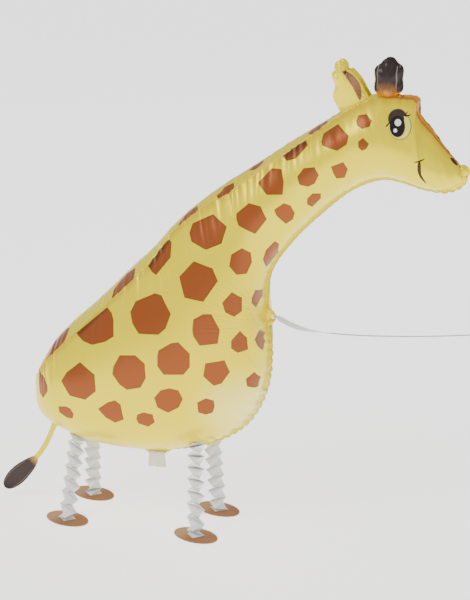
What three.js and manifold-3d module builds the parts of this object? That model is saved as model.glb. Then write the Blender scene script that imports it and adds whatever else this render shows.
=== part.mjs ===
// Giraffe walking balloon: an inflated foil giraffe on four folded paper legs.
// Millimetres, +Z up, +X towards the head, +Y to the giraffe's left.

import * as THREE from 'three';
import { mergeVertices } from 'three/addons/utils/BufferGeometryUtils.js';
import Module from 'manifold-3d';

const wasm = await Module();
wasm.setup();

// Driving dimensions of the inflated foil
const foilLength = 653;            // rump to muzzle
const bellyClearance = 110;        // floor to the lowest point of the belly
const foilHalfThickness = 88;      // from the middle plane to the fullest part of the flank
const bellyFullness = 0.1;         // how far the fullest part sits below the middle of a section
const seamFlange = 5.5;            // width of the flat sealed edge
const flangeThickness = 0.8;
const scallopPitch = 9.5;          // one pucker of the sealed edge
const scallopDepth = 1.6;
const lipRadius = 10;

// Horns and ears, flat pockets that stand on the crown
const hornWidth = 38;
const hornHeight = 55;
const hornThickness = 15;
const hornLobes = 0.07;            // depth of the puckers in its edge, as a share
const hornSpread = 8;              // from the middle plane to a horn's middle
const hornSink = 8;                // how far its foot reaches into the crown
const earLength = 68;
const earThickness = 13;
const earSpread = 7.5;
const earLean = 0.04;              // outward lean in radians
const earSink = 10;

// Chest lug and its ribbon hole
const lugReach = 15;
const lugHeight = 34;
const ribbonHole = 3;              // radius

// Tail, valve tab and feet
const tailWidth = 8;
const tailLength = 80;
const tuftLength = 80;
const tuftWidth = 29;
const tailThickness = 0.7;
const valveWidth = 28;
const valveLength = 21;
const valveNeck = 6;               // foil neck below the sealed edge
const valveNeckShare = 0.88;       // the neck's width as a share of the tab's
const valveThickness = 0.7;
const footLength = 75;
const footWidth = 49;
const footThickness = 1.2;
const footTurn = -0.39;            // the ovals' turn in radians
const legLean = { back_right: 9, back_left: 10, front_right: -8, front_left: -2 };  // top ahead of foot

// Folded paper legs
const paperWidth = 20;
const paperThickness = 0.4;
const foldPitch = 4.7;             // rise from one fold to the next
const stanceLength = 206;          // back foot to front foot
const stanceWidth = 106;           // left foot to right foot
const legTopWidth = 52;            // left to right where the legs are glued under the belly
const backFootAt = 66;             // back feet, from the rump

// Leash ribbon
const ribbonWidth = 5;
const ribbonThickness = 0.8;
const handLoopLength = 74;
const handLoopHeight = 36;
const knotRadius = 4;

// Clearance between pieces that touch
const gap = 0.3;

// Mesh fineness
const sectionCount = 54;
const sectionSides = 28;

// Materials
const paint = (color, roughness, metalness = 0) =>
  new THREE.MeshStandardMaterial({ color, roughness, metalness, side: THREE.DoubleSide });
const foilPaint = paint(0xf7dc1e, 0.3, 0.2);
const tuftPaint = paint(0x3d2a20, 0.35, 0.2);
const filmPaint = paint(0xe8e6df, 0.2);
const paperPaint = paint(0xf6f6f4, 0.85);
const cardPaint = paint(0xa9713f, 0.8);
const ribbonPaint = paint(0xf2f3f4, 0.4);

// Sections of the foil, from rump to muzzle. Each joins a point on the back line to one on the belly line,
// in hundredths of the foil's length from the rump and above the belly's lowest point.
// The last number is the half thickness there as a share of the fullest one.
const sections = [
  { at: 'rump', back: [1.0, 9.4], belly: [1.0, 9.4], half: 0 },
  { at: 'tail head', back: [0.9, 12.9], belly: [1.9, 6.6], half: 0.25 },
  { at: 'croup', back: [2.0, 17.9], belly: [4.0, 4.9], half: 0.5 },
  { at: 'hip', back: [4.4, 22.9], belly: [8.6, 2.9], half: 0.72 },
  { at: 'loin', back: [9.6, 28.9], belly: [15.6, 0.9], half: 0.88 },
  { at: 'back', back: [17.0, 35.9], belly: [24.2, 0.2], half: 0.97 },
  { at: 'mid back', back: [24.0, 42.9], belly: [34.4, 1.3], half: 1 },
  { at: 'ribs', back: [29.5, 48.2], belly: [44.3, 4.4], half: 0.99 },
  { at: 'shoulder', back: [34.6, 53.9], belly: [51.2, 9.4], half: 0.93 },
  { at: 'withers', back: [39.4, 58.5], belly: [55.3, 17.2], half: 0.85 },
  { at: 'chest', back: [44.3, 62.3], belly: [56.4, 26.8], half: 0.76 },
  { at: 'neck root', back: [49.1, 65.7], belly: [55.4, 36.3], half: 0.68 },
  { at: 'low neck', back: [53.6, 68.8], belly: [56.3, 45.0], half: 0.62 },
  { at: 'mid neck', back: [58.5, 72.2], belly: [61.0, 52.3], half: 0.58 },
  { at: 'high neck', back: [64.2, 76.0], belly: [67.6, 59.2], half: 0.57 },
  { at: 'throat', back: [70.0, 79.9], belly: [74.8, 65.2], half: 0.57 },
  { at: 'nape', back: [75.4, 83.4], belly: [81.2, 67.8], half: 0.56 },
  { at: 'crown', back: [80.2, 85.5], belly: [86.1, 67.4], half: 0.53 },
  { at: 'eyes', back: [85.2, 85.5], belly: [89.6, 66.4], half: 0.49 },
  { at: 'brow', back: [88.4, 85.2], belly: [92.4, 66.0], half: 0.44 },
  { at: 'stop', back: [88.9, 81.8], belly: [94.2, 65.9], half: 0.4 },
  { at: 'bridge', back: [91.6, 78.8], belly: [95.9, 66.2], half: 0.34 },
  { at: 'nose', back: [94.5, 75.2], belly: [97.3, 66.8], half: 0.26 },
  { at: 'nostrils', back: [97.1, 72.2], belly: [98.4, 67.9], half: 0.16 },
  { at: 'muzzle', back: [98.7, 69.8], belly: [98.7, 69.8], half: 0 },
];

const percent = foilLength / 100;
const placed = ([x, z], half = 0) =>
  new THREE.Vector3(x * percent, half * foilHalfThickness, bellyClearance + z * percent);
const backLine = new THREE.CatmullRomCurve3(sections.map((s) => placed(s.back, s.half)));
const bellyLine = new THREE.CatmullRomCurve3(sections.map((s) => placed(s.belly, s.half)));

// Share of the way from rump to muzzle at a named section
const shareAt = (name) => sections.findIndex((s) => s.at === name) / (sections.length - 1);

// Solid from a closed three.js geometry, and back
function solidOf(geometry) {
  const bare = geometry.clone();
  for (const name of Object.keys(bare.attributes)) {
    if (name !== 'position') bare.deleteAttribute(name);
  }
  const merged = mergeVertices(bare, 1e-4);
  return new wasm.Manifold(new wasm.Mesh({
    numProp: 3,
    vertProperties: new Float32Array(merged.attributes.position.array),
    triVerts: new Uint32Array(merged.index.array),
  }));
}

function geometryOf(solid) {
  const mesh = solid.getMesh();
  const geometry = new THREE.BufferGeometry();
  geometry.setAttribute('position', new THREE.BufferAttribute(new Float32Array(mesh.vertProperties), 3));
  geometry.setIndex(new THREE.BufferAttribute(new Uint32Array(mesh.triVerts), 1));
  geometry.computeVertexNormals();
  return geometry;
}

// Closed skin through rings of equal length between two end points, facing outwards
function skin(rings, firstPoint, lastPoint) {
  const sides = rings[0].length;
  const points = [...rings.flat(), firstPoint, lastPoint];
  const first = rings.length * sides;
  const last = first + 1;
  const faces = [];
  for (let side = 0; side < sides; side += 1) {
    const next = (side + 1) % sides;
    faces.push(first, side, next);
    for (let ring = 0; ring < rings.length - 1; ring += 1) {
      const a = ring * sides;
      const b = a + sides;
      faces.push(a + side, b + next, a + next, a + side, b + side, b + next);
    }
    const end = (rings.length - 1) * sides;
    faces.push(last, end + next, end + side);
  }
  const geometry = new THREE.BufferGeometry().setFromPoints(points);
  geometry.setIndex(faces);
  return geometry;
}

// Flat plate in the X-Z plane, centred on a Y value
function plate(shape, thickness, y = 0, curveSegments = 8) {
  const geometry = new THREE.ExtrudeGeometry(shape, { depth: thickness, bevelEnabled: false, curveSegments });
  return geometry.rotateX(Math.PI / 2).translate(0, y + thickness / 2, 0);
}

// Inflated flat pocket: the outline, with both faces bulging to the thickness at its middle
function pocket(outline, thickness) {
  const middle = outline.reduce((sum, p) => sum.add(p), new THREE.Vector2()).divideScalar(outline.length);
  const bulge = (share) => (thickness / 2) * Math.sqrt(1 - share * share);
  const shares = [0.5, 0.88];
  const ring = (share, side) => outline.map((p) => new THREE.Vector3(
    middle.x + (p.x - middle.x) * share, side * bulge(share), middle.y + (p.y - middle.y) * share));
  const rings = [
    ...shares.map((share) => ring(share, -1)), ring(1, 0), ...shares.toReversed().map((share) => ring(share, 1)),
  ];
  const tip = (side) => new THREE.Vector3(middle.x, side * thickness / 2, middle.y);
  return skin(rings, tip(-1), tip(1));
}

// Inflated body, neck and head
function makeBody() {
  const rings = [];
  for (let i = 1; i < sectionCount; i += 1) {
    const share = i / sectionCount;
    const back = backLine.getPoint(share);
    const belly = bellyLine.getPoint(share);
    const half = (back.y + belly.y) / 2;
    const ring = [];
    for (let side = 0; side < sectionSides; side += 1) {
      const turn = 2 * Math.PI * side / sectionSides;
      const down = (1 - Math.cos(turn)) / 2;
      const out = half * Math.sin(turn) * (1 - bellyFullness * Math.cos(turn));
      ring.push(new THREE.Vector3(
        THREE.MathUtils.lerp(back.x, belly.x, down), out, THREE.MathUtils.lerp(back.z, belly.z, down)));
    }
    rings.push(ring);
  }
  const flat = (v) => new THREE.Vector3(v.x, 0, v.z);
  return skin(rings, flat(backLine.getPoint(0)), flat(backLine.getPoint(1)));
}

// Outward direction of the belly line
function outwardAt(share) {
  const along = bellyLine.getTangent(Math.min(share, 0.999));
  return new THREE.Vector2(along.z, -along.x).normalize();
}

// Puckers show where the sealed edge bulges: the front of the belly and the muzzle
function scallopAt(share) {
  const puckered = (share > shareAt('mid back') && share < shareAt('chest')) || share > shareAt('brow');
  return puckered ? scallopDepth : 0;
}

// Flat sealed edge where the two sides meet, from the tail round the belly, chest and throat to the nose
function makeFlange() {
  const outer = [];
  const inner = [];
  const first = shareAt('tail head');
  const steps = 330;
  const rootDepth = 2.2 * seamFlange;
  let length = 0;
  let before = bellyLine.getPoint(first);
  for (let i = 0; i <= steps; i += 1) {
    const share = THREE.MathUtils.lerp(first, 0.985, i / steps);
    const at = bellyLine.getPoint(share);
    length += Math.hypot(at.x - before.x, at.z - before.z);
    before = at;
    const depth = scallopAt(share);
    if (depth === 0 && i % 5 !== 0) continue;
    const wave = depth * Math.cos(2 * Math.PI * length / scallopPitch);
    const outward = outwardAt(share);
    const edge = seamFlange + wave;
    outer.push(new THREE.Vector2(at.x + outward.x * edge, at.z + outward.y * edge));
    inner.push(new THREE.Vector2(at.x - outward.x * rootDepth, at.z - outward.y * rootDepth));
  }
  return plate(new THREE.Shape([...outer, ...inner.reverse()]), flangeThickness);
}

// Lobed outline of a horn, its foot at the origin
function hornOutline() {
  const points = [];
  const count = 36;
  for (let i = 0; i < count; i += 1) {
    const turn = 2 * Math.PI * i / count;
    const lobe = 1 - hornLobes * Math.cos(6 * turn);
    const squareness = Math.pow(Math.abs(Math.cos(turn)), 0.75) * Math.sign(Math.cos(turn));
    points.push(new THREE.Vector2(
      (hornWidth / 2) * squareness * lobe,
      hornHeight / 2 + (hornHeight / 2) * Math.sin(turn) * lobe));
  }
  return points;
}

// Leaf outline of an ear with a knob at its tip, its foot at the origin, in shares of the ear's length
function earOutline() {
  const edge = [
    [0.36, 0.0], [0.33, 0.24], [0.25, 0.4], [0.17, 0.56], [0.03, 0.74], [-0.14, 0.86], [-0.2, 0.95],
    [-0.31, 1.03], [-0.41, 0.95], [-0.43, 0.84], [-0.49, 0.74], [-0.42, 0.46], [-0.47, 0.26],
    [-0.34, -0.02], [0, -0.14],
  ];
  const curve = new THREE.CatmullRomCurve3(
    edge.map(([x, z]) => new THREE.Vector3(x * earLength, z * earLength, 0)), true);
  return curve.getPoints(32).slice(0, -1).map((p) => new THREE.Vector2(p.x, p.y));
}

// A pocket stood on the crown at a share along the back line, sunk a little into it
function stand(geometry, share, spread, sink, lean, side) {
  const foot = backLine.getPoint(share);
  return geometry.clone().rotateX(-side * lean).translate(foot.x, side * spread, foot.z - sink);
}

// Lug on the chest seam with the hole that the ribbon is tied through
const lugShare = shareAt('neck root') - 0.009;
const lugPoint = bellyLine.getPoint(lugShare);
const lugTip = new THREE.Vector2(lugPoint.x + seamFlange + lugReach * 0.75, lugPoint.z);

function makeLug() {
  const root = lugPoint.x - seamFlange;
  const half = lugHeight / 2;
  const shape = new THREE.Shape();
  shape.moveTo(root, lugPoint.z - half);
  shape.lineTo(lugPoint.x + seamFlange, lugPoint.z - half * 0.75);
  shape.quadraticCurveTo(lugTip.x, lugPoint.z - half * 0.4, lugTip.x, lugPoint.z);
  shape.quadraticCurveTo(lugTip.x, lugPoint.z + half * 0.5, lugPoint.x + seamFlange * 0.4, lugPoint.z + half);
  shape.lineTo(root, lugPoint.z + half);
  const hole = new THREE.Path();
  hole.absellipse(lugTip.x - 2 * ribbonHole, lugPoint.z, ribbonHole, ribbonHole, 0, 2 * Math.PI);
  shape.holes.push(hole);
  return plate(shape, flangeThickness * 1.5);
}

// Short foil neck under the belly that the valve tab is welded to
const valveShare = shareAt('back') + 0.022;
const valvePoint = bellyLine.getPoint(valveShare);
const valveLip = valvePoint.z - seamFlange - valveNeck;

function makeValveNeck() {
  const shape = new THREE.Shape();
  const half = valveWidth * valveNeckShare / 2;
  shape.moveTo(valvePoint.x - half * 2.1, valvePoint.z);
  shape.quadraticCurveTo(valvePoint.x - half, valvePoint.z - seamFlange, valvePoint.x - half, valveLip);
  shape.lineTo(valvePoint.x + half, valveLip);
  shape.quadraticCurveTo(valvePoint.x + half, valvePoint.z - seamFlange, valvePoint.x + half * 2.1, valvePoint.z);
  shape.lineTo(valvePoint.x, valvePoint.z + 2 * seamFlange);
  return plate(shape, flangeThickness);
}

// Puffed lobe of the sealed edge at the upper lip
function makeLip() {
  const muzzle = bellyLine.getPoint(1);
  const outline = new THREE.Path().absellipse(0, 0, lipRadius, lipRadius, 0, 2 * Math.PI);
  return pocket(outline.getPoints(10).slice(0, -1), lipRadius)
    .translate(muzzle.x + lipRadius * 0.15, 0, muzzle.z + lipRadius * 0.25);
}

function makeFoil() {
  const parts = [makeBody(), makeFlange(), makeLip(), makeLug(), makeValveNeck()];
  const horn = pocket(hornOutline(), hornThickness);
  const ear = pocket(earOutline(), earThickness);
  for (const side of [-1, 1]) {
    parts.push(stand(horn, shareAt('crown') + 0.017, hornSpread, hornSink, 0, side));
    parts.push(stand(ear, shareAt('nape') + 0.001, earSpread, earSink, earLean, side));
  }
  return geometryOf(parts.map(solidOf).reduce((whole, part) => whole.add(part)));
}

// Foil tail: a flat strip that bends once and ends in a leaf-shaped tuft
const tailRoot = bellyLine.getPoint(shareAt('croup') + 0.007);
const tailSide = flangeThickness / 2 + gap + tailThickness / 2;

function tailCurve() {
  const start = new THREE.Vector2(tailRoot.x, tailRoot.z - seamFlange / 2);
  const knee = new THREE.Vector2(start.x - 0.24 * tailLength, start.y - 0.55 * tailLength);
  const end = new THREE.Vector2(start.x - 0.5 * tailLength, start.y - 0.92 * tailLength);
  return new THREE.SplineCurve([start, knee, end]);
}

function makeTail() {
  const curve = tailCurve();
  const strip = curve.getPoints(12);
  const across = (share) => {
    const along = curve.getTangent(share);
    return new THREE.Vector2(-along.y, along.x);
  };
  const left = strip.map((p, i) => p.clone().addScaledVector(across(i / 12), tailWidth / 2));
  const right = strip.map((p, i) => p.clone().addScaledVector(across(i / 12), -tailWidth / 2));
  return plate(new THREE.Shape([...left, ...right.reverse()]), tailThickness, tailSide);
}

function makeTuft() {
  const curve = tailCurve();
  const end = curve.getPoint(1);
  const lean = 0.72;
  const along = new THREE.Vector2(-Math.sin(lean), -Math.cos(lean));
  const across = new THREE.Vector2(along.y, -along.x);
  const outline = [];
  const count = 28;
  for (let i = 0; i < count; i += 1) {
    const turn = 2 * Math.PI * i / count;
    const run = (1 - Math.cos(turn)) / 2;
    const width = (tuftWidth / 2) * Math.sin(turn) * (0.72 + 0.42 * run);
    outline.push(end.clone().addScaledVector(along, run * tuftLength - tailWidth).addScaledVector(across, width));
  }
  return plate(new THREE.Shape(outline), tailThickness, tailSide);
}

function makeTailWithTuft() {
  return geometryOf(solidOf(makeTail()).add(solidOf(makeTuft())));
}

// Clear valve tab: a flat film sleeve under the foil neck
function makeValveTab() {
  const top = valveLip + 4;
  const half = valveWidth / 2;
  const shape = new THREE.Shape([
    new THREE.Vector2(valvePoint.x - half * 0.9, top),
    new THREE.Vector2(valvePoint.x - half, valveLip - valveLength),
    new THREE.Vector2(valvePoint.x + half, valveLip - valveLength),
    new THREE.Vector2(valvePoint.x + half * 0.9, top),
  ]);
  return plate(shape, valveThickness, -(flangeThickness / 2 + gap + valveThickness / 2));
}

// Cardboard oval under a leg
function makeFoot() {
  const shape = new THREE.Shape();
  shape.absellipse(0, 0, footLength / 2, footWidth / 2, 0, 2 * Math.PI, false, footTurn);
  return new THREE.ExtrudeGeometry(shape, { depth: footThickness, bevelEnabled: false, curveSegments: 15 });
}

// One folded layer of paper: a square whose corners climb, as thick as the paper
function paperLayer(corners, hand) {
  const points = [];
  for (const lift of [-0.5, 0.5]) {
    for (const c of corners) points.push(new THREE.Vector3(c.x, c.y, c.z + lift * paperThickness));
  }
  const faces = [0, 2, 1, 0, 3, 2, 4, 5, 6, 4, 6, 7];
  for (let i = 0; i < 4; i += 1) {
    const j = (i + 1) % 4;
    faces.push(i, j, j + 4, i, j + 4, i + 4);
  }
  if (hand < 0) faces.reverse();
  const geometry = new THREE.BufferGeometry().setFromPoints(points);
  geometry.setIndex(faces);
  return geometry;
}

// Corners of the folds, climbing round a square column from the flat foot to the sloping belly,
// so the folds fan out evenly where the belly slopes
function foldCorners(foot, top, hand) {
  const radius = paperWidth / Math.SQRT2;
  const inward = foot.y < 0 ? Math.PI / 2 : -Math.PI / 2;
  const bottom = footThickness + gap + paperThickness / 2;
  const heightUnder = (x, y) =>
    top.point.z - (top.normal.x * (x - top.point.x) + top.normal.y * (y - top.point.y)) / top.normal.z
    - 2 * gap - paperThickness / 2;
  const climbs = Math.round((heightUnder(top.point.x, top.point.y) - bottom) / foldPitch);
  const count = climbs + 7;
  const corners = [];
  for (let i = 0; i < count; i += 1) {
    const rise = THREE.MathUtils.clamp((i - 3) / climbs, 0, 1);
    const turn = inward + hand * (i - (count - 4)) * Math.PI / 2;
    const x = THREE.MathUtils.lerp(foot.x, top.point.x, rise) + radius * Math.cos(turn);
    const y = THREE.MathUtils.lerp(foot.y, top.point.y, rise) + radius * Math.sin(turn);
    corners.push(new THREE.Vector3(x, y, THREE.MathUtils.lerp(bottom, heightUnder(x, y), rise)));
  }
  return corners;
}

function makeLeg(foot, top, hand) {
  const corners = foldCorners(foot, top, hand);
  const layers = [];
  for (let i = 3; i < corners.length; i += 1) {
    layers.push(solidOf(paperLayer(corners.slice(i - 3, i + 1), hand)));
  }
  return geometryOf(layers.reduce((whole, layer) => whole.add(layer)));
}

// Leash: a ribbon tied to the chest lug that runs forward to a knot and a hand loop
const leashStart = new THREE.Vector3(lugTip.x + gap + ribbonWidth / 3, 0, lugPoint.z);
const leashRoute = [
  [0, 0], [6, -3.4], [12, -6], [20, -9.4], [29, -12], [40, -14.2], [52, -15.5], [68, -16.3], [84, -16.5],
  [102, -16.1], [120, -15.5], [158, -13], [198, -9.5], [238, -5], [276, 0], [304, 4], [322, 6],
];
const leashPath = new THREE.CatmullRomCurve3(
  leashRoute.map(([x, z]) => new THREE.Vector3(leashStart.x + x, 0, leashStart.z + z)));

// Flat section with its corners cut, broad side facing sideways
function ribbonSection() {
  const x = ribbonThickness / 2;
  const y = ribbonWidth / 2;
  const cut = ribbonThickness / 4;
  return new THREE.Shape([
    [-x, -y + cut], [-x + cut, -y], [x - cut, -y], [x, -y + cut],
    [x, y - cut], [x - cut, y], [-x + cut, y], [-x, y - cut],
  ].map(([a, b]) => new THREE.Vector2(a, b)));
}

function makeRibbon() {
  return new THREE.ExtrudeGeometry(ribbonSection(), { steps: 40, extrudePath: leashPath, bevelEnabled: false });
}

function makeHandLoop() {
  const end = leashPath.getPoint(1);
  const knotX = end.x + gap + knotRadius;
  const drop = (inset) => {
    const points = [];
    const count = 40;
    for (let i = 0; i < count; i += 1) {
      const turn = 2 * Math.PI * i / count;
      const run = (1 - Math.cos(turn)) / 2;
      const high = (handLoopHeight / 2 - inset) * Math.sin(turn) * Math.pow(Math.abs(Math.sin(turn / 2)), 0.8);
      points.push(new THREE.Vector2(
        knotX + inset * 1.6 + run * (handLoopLength - 2.6 * inset), end.z + high));
    }
    return points;
  };
  const outside = solidOf(plate(new THREE.Shape(drop(0)), ribbonWidth));
  const inside = solidOf(plate(new THREE.Shape(drop(ribbonThickness)), 2 * ribbonWidth));
  const knot = new THREE.SphereGeometry(knotRadius, 12, 8).translate(knotX, 0, end.z);
  return geometryOf(outside.subtract(inside).add(solidOf(knot)));
}

// Assembly
const model = new THREE.Group();

function addMesh(name, geometry, material) {
  const mesh = new THREE.Mesh(geometry, material);
  mesh.name = name;
  model.add(mesh);
  return mesh;
}

const foil = addMesh('foil_giraffe', makeFoil(), foilPaint);
foil.updateMatrixWorld();
addMesh('foil_tail', makeTailWithTuft(), tuftPaint);
addMesh('valve_tab', makeValveTab(), filmPaint);

const belly = new THREE.Raycaster();
const upward = new THREE.Vector3(0, 0, 1);
for (const [end, x] of [['back', backFootAt], ['front', backFootAt + stanceLength]]) {
  for (const [name, side] of [['right', -1], ['left', 1]]) {
    const foot = new THREE.Vector3(x, side * stanceWidth / 2, 0);
    belly.set(new THREE.Vector3(x + legLean[`${end}_${name}`], side * legTopWidth / 2, 0), upward);
    const hit = belly.intersectObject(foil)[0];
    const top = { point: hit.point, normal: hit.face.normal };
    addMesh(`paper_leg_${end}_${name}`, makeLeg(foot, top, -side), paperPaint);
    addMesh(`card_foot_${end}_${name}`, makeFoot(), cardPaint).position.copy(foot);
  }
}

const standing = new THREE.Box3().setFromObject(model);
addMesh('leash_ribbon', makeRibbon(), ribbonPaint);
addMesh('leash_hand_loop', makeHandLoop(), ribbonPaint);

// The origin is under the middle of the standing giraffe, the leash left out
const group = new THREE.Group();
model.position.set(-(standing.min.x + standing.max.x) / 2, 0, -standing.min.z);
group.add(model);

export default group;
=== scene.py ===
import math
import random

import bmesh
import bpy
import numpy as np
from mathutils import Matrix, Vector, geometry, noise
from mathutils.bvhtree import BVHTree


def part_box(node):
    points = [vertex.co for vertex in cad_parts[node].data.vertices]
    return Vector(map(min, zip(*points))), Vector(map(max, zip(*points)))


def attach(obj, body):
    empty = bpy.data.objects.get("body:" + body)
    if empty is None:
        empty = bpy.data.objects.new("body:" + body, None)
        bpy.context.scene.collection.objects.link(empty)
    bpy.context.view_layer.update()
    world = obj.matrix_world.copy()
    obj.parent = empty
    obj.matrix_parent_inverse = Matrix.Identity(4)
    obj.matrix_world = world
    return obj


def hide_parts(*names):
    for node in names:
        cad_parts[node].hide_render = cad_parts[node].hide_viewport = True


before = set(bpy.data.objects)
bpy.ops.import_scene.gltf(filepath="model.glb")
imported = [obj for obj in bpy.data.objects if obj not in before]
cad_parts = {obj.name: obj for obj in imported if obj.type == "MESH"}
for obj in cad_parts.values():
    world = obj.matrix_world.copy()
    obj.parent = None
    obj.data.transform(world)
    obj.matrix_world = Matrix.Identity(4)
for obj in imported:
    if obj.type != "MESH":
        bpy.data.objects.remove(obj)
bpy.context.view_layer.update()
footLow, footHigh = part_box("card_foot_back_right")
backFootAt = 0.066                      # the back feet stand this far ahead of the rump
rumpX = (footLow.x + footHigh.x) / 2 - backFootAt
millimetre = 0.001
print("frame loaded:", len(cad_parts), "nodes")


# Camera, at the photo's angle
cameraSetup = {
    "target": Vector((0.018, 0.0, 0.354)),
    "distance": 2.745,
    "azimuth": 18.0,
    "elevation": 16.5,
    "focalPixels": 1893.0,
    "photo": (470, 600),
}


def cameraPlace(setup):
    azimuth, elevation = math.radians(setup["azimuth"]), math.radians(setup["elevation"])
    back = Vector((math.sin(azimuth) * math.cos(elevation),
                   -math.cos(azimuth) * math.cos(elevation), math.sin(elevation)))
    return setup["target"] + back * setup["distance"], (-back).to_track_quat("-Z", "Y")


def makeCamera(setup):
    data = bpy.data.cameras.new("photoCamera")
    data.sensor_width = 36.0
    data.lens = data.sensor_width * setup["focalPixels"] / max(setup["photo"])
    camera = bpy.data.objects.new("photoCamera", data)
    bpy.context.scene.collection.objects.link(camera)
    camera.rotation_mode = "QUATERNION"
    camera.location, camera.rotation_quaternion = cameraPlace(setup)
    bpy.context.scene.camera = camera


def photoRay(x, y, setup=cameraSetup):
    place, turn = cameraPlace(setup)
    width, height = setup["photo"]
    return place, (turn @ Vector((x - width / 2, height / 2 - y, -setup["focalPixels"]))).normalized()


makeCamera(cameraSetup)


# Helpers for meshes
def catmullRom(points, shares):
    points = np.asarray(points, float)
    last = len(points) - 1
    held = np.vstack([2 * points[0] - points[1], points, 2 * points[-1] - points[-2]])
    at = np.clip(np.asarray(shares, float), 0, 1) * last
    index = np.minimum(at.astype(int), last - 1)
    w = (at - index)[:, None]
    p0, p1, p2, p3 = (held[index + k] for k in range(4))

    def knot(a, b):
        return np.maximum(np.sum((b - a) ** 2, axis=1), 1e-12)[:, None] ** 0.25

    d0, d1, d2 = knot(p0, p1), knot(p1, p2), knot(p2, p3)
    m1 = ((p1 - p0) / d0 - (p2 - p0) / (d0 + d1) + (p2 - p1) / d1) * d1
    m2 = ((p2 - p1) / d1 - (p3 - p1) / (d1 + d2) + (p3 - p2) / d2) * d1
    return p1 + m1 * w + (3 * (p2 - p1) - 2 * m1 - m2) * w ** 2 + (2 * (p1 - p2) + m1 + m2) * w ** 3


def runningLength(points):
    steps = np.linalg.norm(np.diff(points, axis=0), axis=1)
    return np.concatenate([[0.0], np.cumsum(steps)])


def rolledGrid(places, maps=None, marks=None, uvName="surface"):
    # a bmesh grid whose vertex (i, j) is put at places[i, j], with its own map and marks
    rows, columns = places.shape[:2]
    bm = bmesh.new()
    uvLayer = bm.loops.layers.uv.new(uvName)
    layers = {name: bm.verts.layers.float.new(name) for name in (marks or {})}
    bmesh.ops.create_grid(bm, x_segments=rows - 1, y_segments=columns - 1, size=0.5)
    xs = [v.co.x for v in bm.verts]
    ys = [v.co.y for v in bm.verts]
    lowX, spanX, lowY, spanY = min(xs), max(xs) - min(xs), min(ys), max(ys) - min(ys)
    cell = {}
    for v in bm.verts:
        i = round((v.co.x - lowX) / spanX * (rows - 1))
        j = round((v.co.y - lowY) / spanY * (columns - 1))
        cell[v] = (i, j)
        v.co = places[i, j]
        for name, layer in layers.items():
            v[layer] = marks[name][i, j]
    for face in bm.faces:
        face.smooth = True
        for loop in face.loops:
            i, j = cell[loop.vert]
            loop[uvLayer].uv = maps[i, j] if maps is not None else (i / (rows - 1), j / (columns - 1))
    return bm


def closeUp(bm, distance=1e-6):
    bmesh.ops.remove_doubles(bm, verts=bm.verts, dist=distance)
    bmesh.ops.dissolve_degenerate(bm, dist=1e-7, edges=bm.edges)
    bmesh.ops.recalc_face_normals(bm, faces=bm.faces)
    return bm


def makePiece(name, bm, material, replaced=(), smooth=True):
    for face in bm.faces:
        face.smooth = smooth
    mesh = bpy.data.meshes.new(name)
    bm.to_mesh(mesh)
    bm.free()
    mesh.materials.append(material)
    piece = bpy.data.objects.new(name, mesh)
    bpy.context.scene.collection.objects.link(piece)
    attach(piece, "root")
    if replaced:
        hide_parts(*replaced)
    return piece


# Helpers for materials
def newMaterial(name, **settings):
    material = bpy.data.materials.new(name)
    material.use_nodes = True
    tree = material.node_tree
    shader = tree.nodes["Principled BSDF"]
    for socket, value in settings.items():
        shader.inputs[socket.replace("_", " ")].default_value = value
    return material, tree, shader


def feed(tree, socket, value):
    if isinstance(value, bpy.types.NodeSocket):
        tree.links.new(value, socket)
    else:
        socket.default_value = value


def calc(tree, operation, *values):
    node = tree.nodes.new("ShaderNodeMath")
    node.operation = operation
    for socket, value in zip(node.inputs, values):
        feed(tree, socket, value)
    return node.outputs[0]


def times(tree, first, second):
    return calc(tree, "MULTIPLY", first, second)


def minus(tree, first, second):
    return calc(tree, "SUBTRACT", first, second)


def ramp(tree, value, start, end, low=0.0, high=1.0):
    node = tree.nodes.new("ShaderNodeMapRange")
    node.interpolation_type = "SMOOTHSTEP"
    for socket, given in zip(node.inputs, (value, start, end, low, high)):
        feed(tree, socket, given)
    return node.outputs[0]


def mixColour(tree, factor, first, second):
    node = tree.nodes.new("ShaderNodeMix")
    node.data_type = "RGBA"
    feed(tree, node.inputs[0], factor)
    for socket, value in zip((node.inputs[6], node.inputs[7]), (first, second)):
        feed(tree, socket, value if isinstance(value, bpy.types.NodeSocket) else (*value, 1.0))
    return node.outputs[2]


def mark(tree, name):
    node = tree.nodes.new("ShaderNodeAttribute")
    node.attribute_name = name
    return node.outputs["Fac"]


def place(tree, scale=(1, 1, 1), uvName=""):
    mapping = tree.nodes.new("ShaderNodeMapping")
    mapping.inputs["Scale"].default_value = scale
    if uvName:
        source = tree.nodes.new("ShaderNodeUVMap")
        source.uv_map = uvName
        tree.links.new(source.outputs[0], mapping.inputs[0])
    else:
        source = tree.nodes.new("ShaderNodeTexCoord")
        tree.links.new(source.outputs["Object"], mapping.inputs[0])
    return mapping.outputs[0]


def splitOf(tree, vector):
    node = tree.nodes.new("ShaderNodeSeparateXYZ")
    tree.links.new(vector, node.inputs[0])
    return node.outputs


def noiseOf(tree, vector, scale, detail=2.0, roughness=0.5):
    node = tree.nodes.new("ShaderNodeTexNoise")
    tree.links.new(vector, node.inputs["Vector"])
    node.inputs["Scale"].default_value = scale
    node.inputs["Detail"].default_value = detail
    node.inputs["Roughness"].default_value = roughness
    return node.outputs[0]


def bumpOf(tree, height, strength, distance, under=None):
    node = tree.nodes.new("ShaderNodeBump")
    node.inputs["Strength"].default_value = strength
    node.inputs["Distance"].default_value = distance
    tree.links.new(height, node.inputs["Height"])
    if under is not None:
        tree.links.new(under, node.inputs["Normal"])
    return node.outputs[0]


def wire(tree, shader, colour, normal):
    tree.links.new(colour, shader.inputs["Base Color"])
    tree.links.new(normal, shader.inputs["Normal"])


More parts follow.
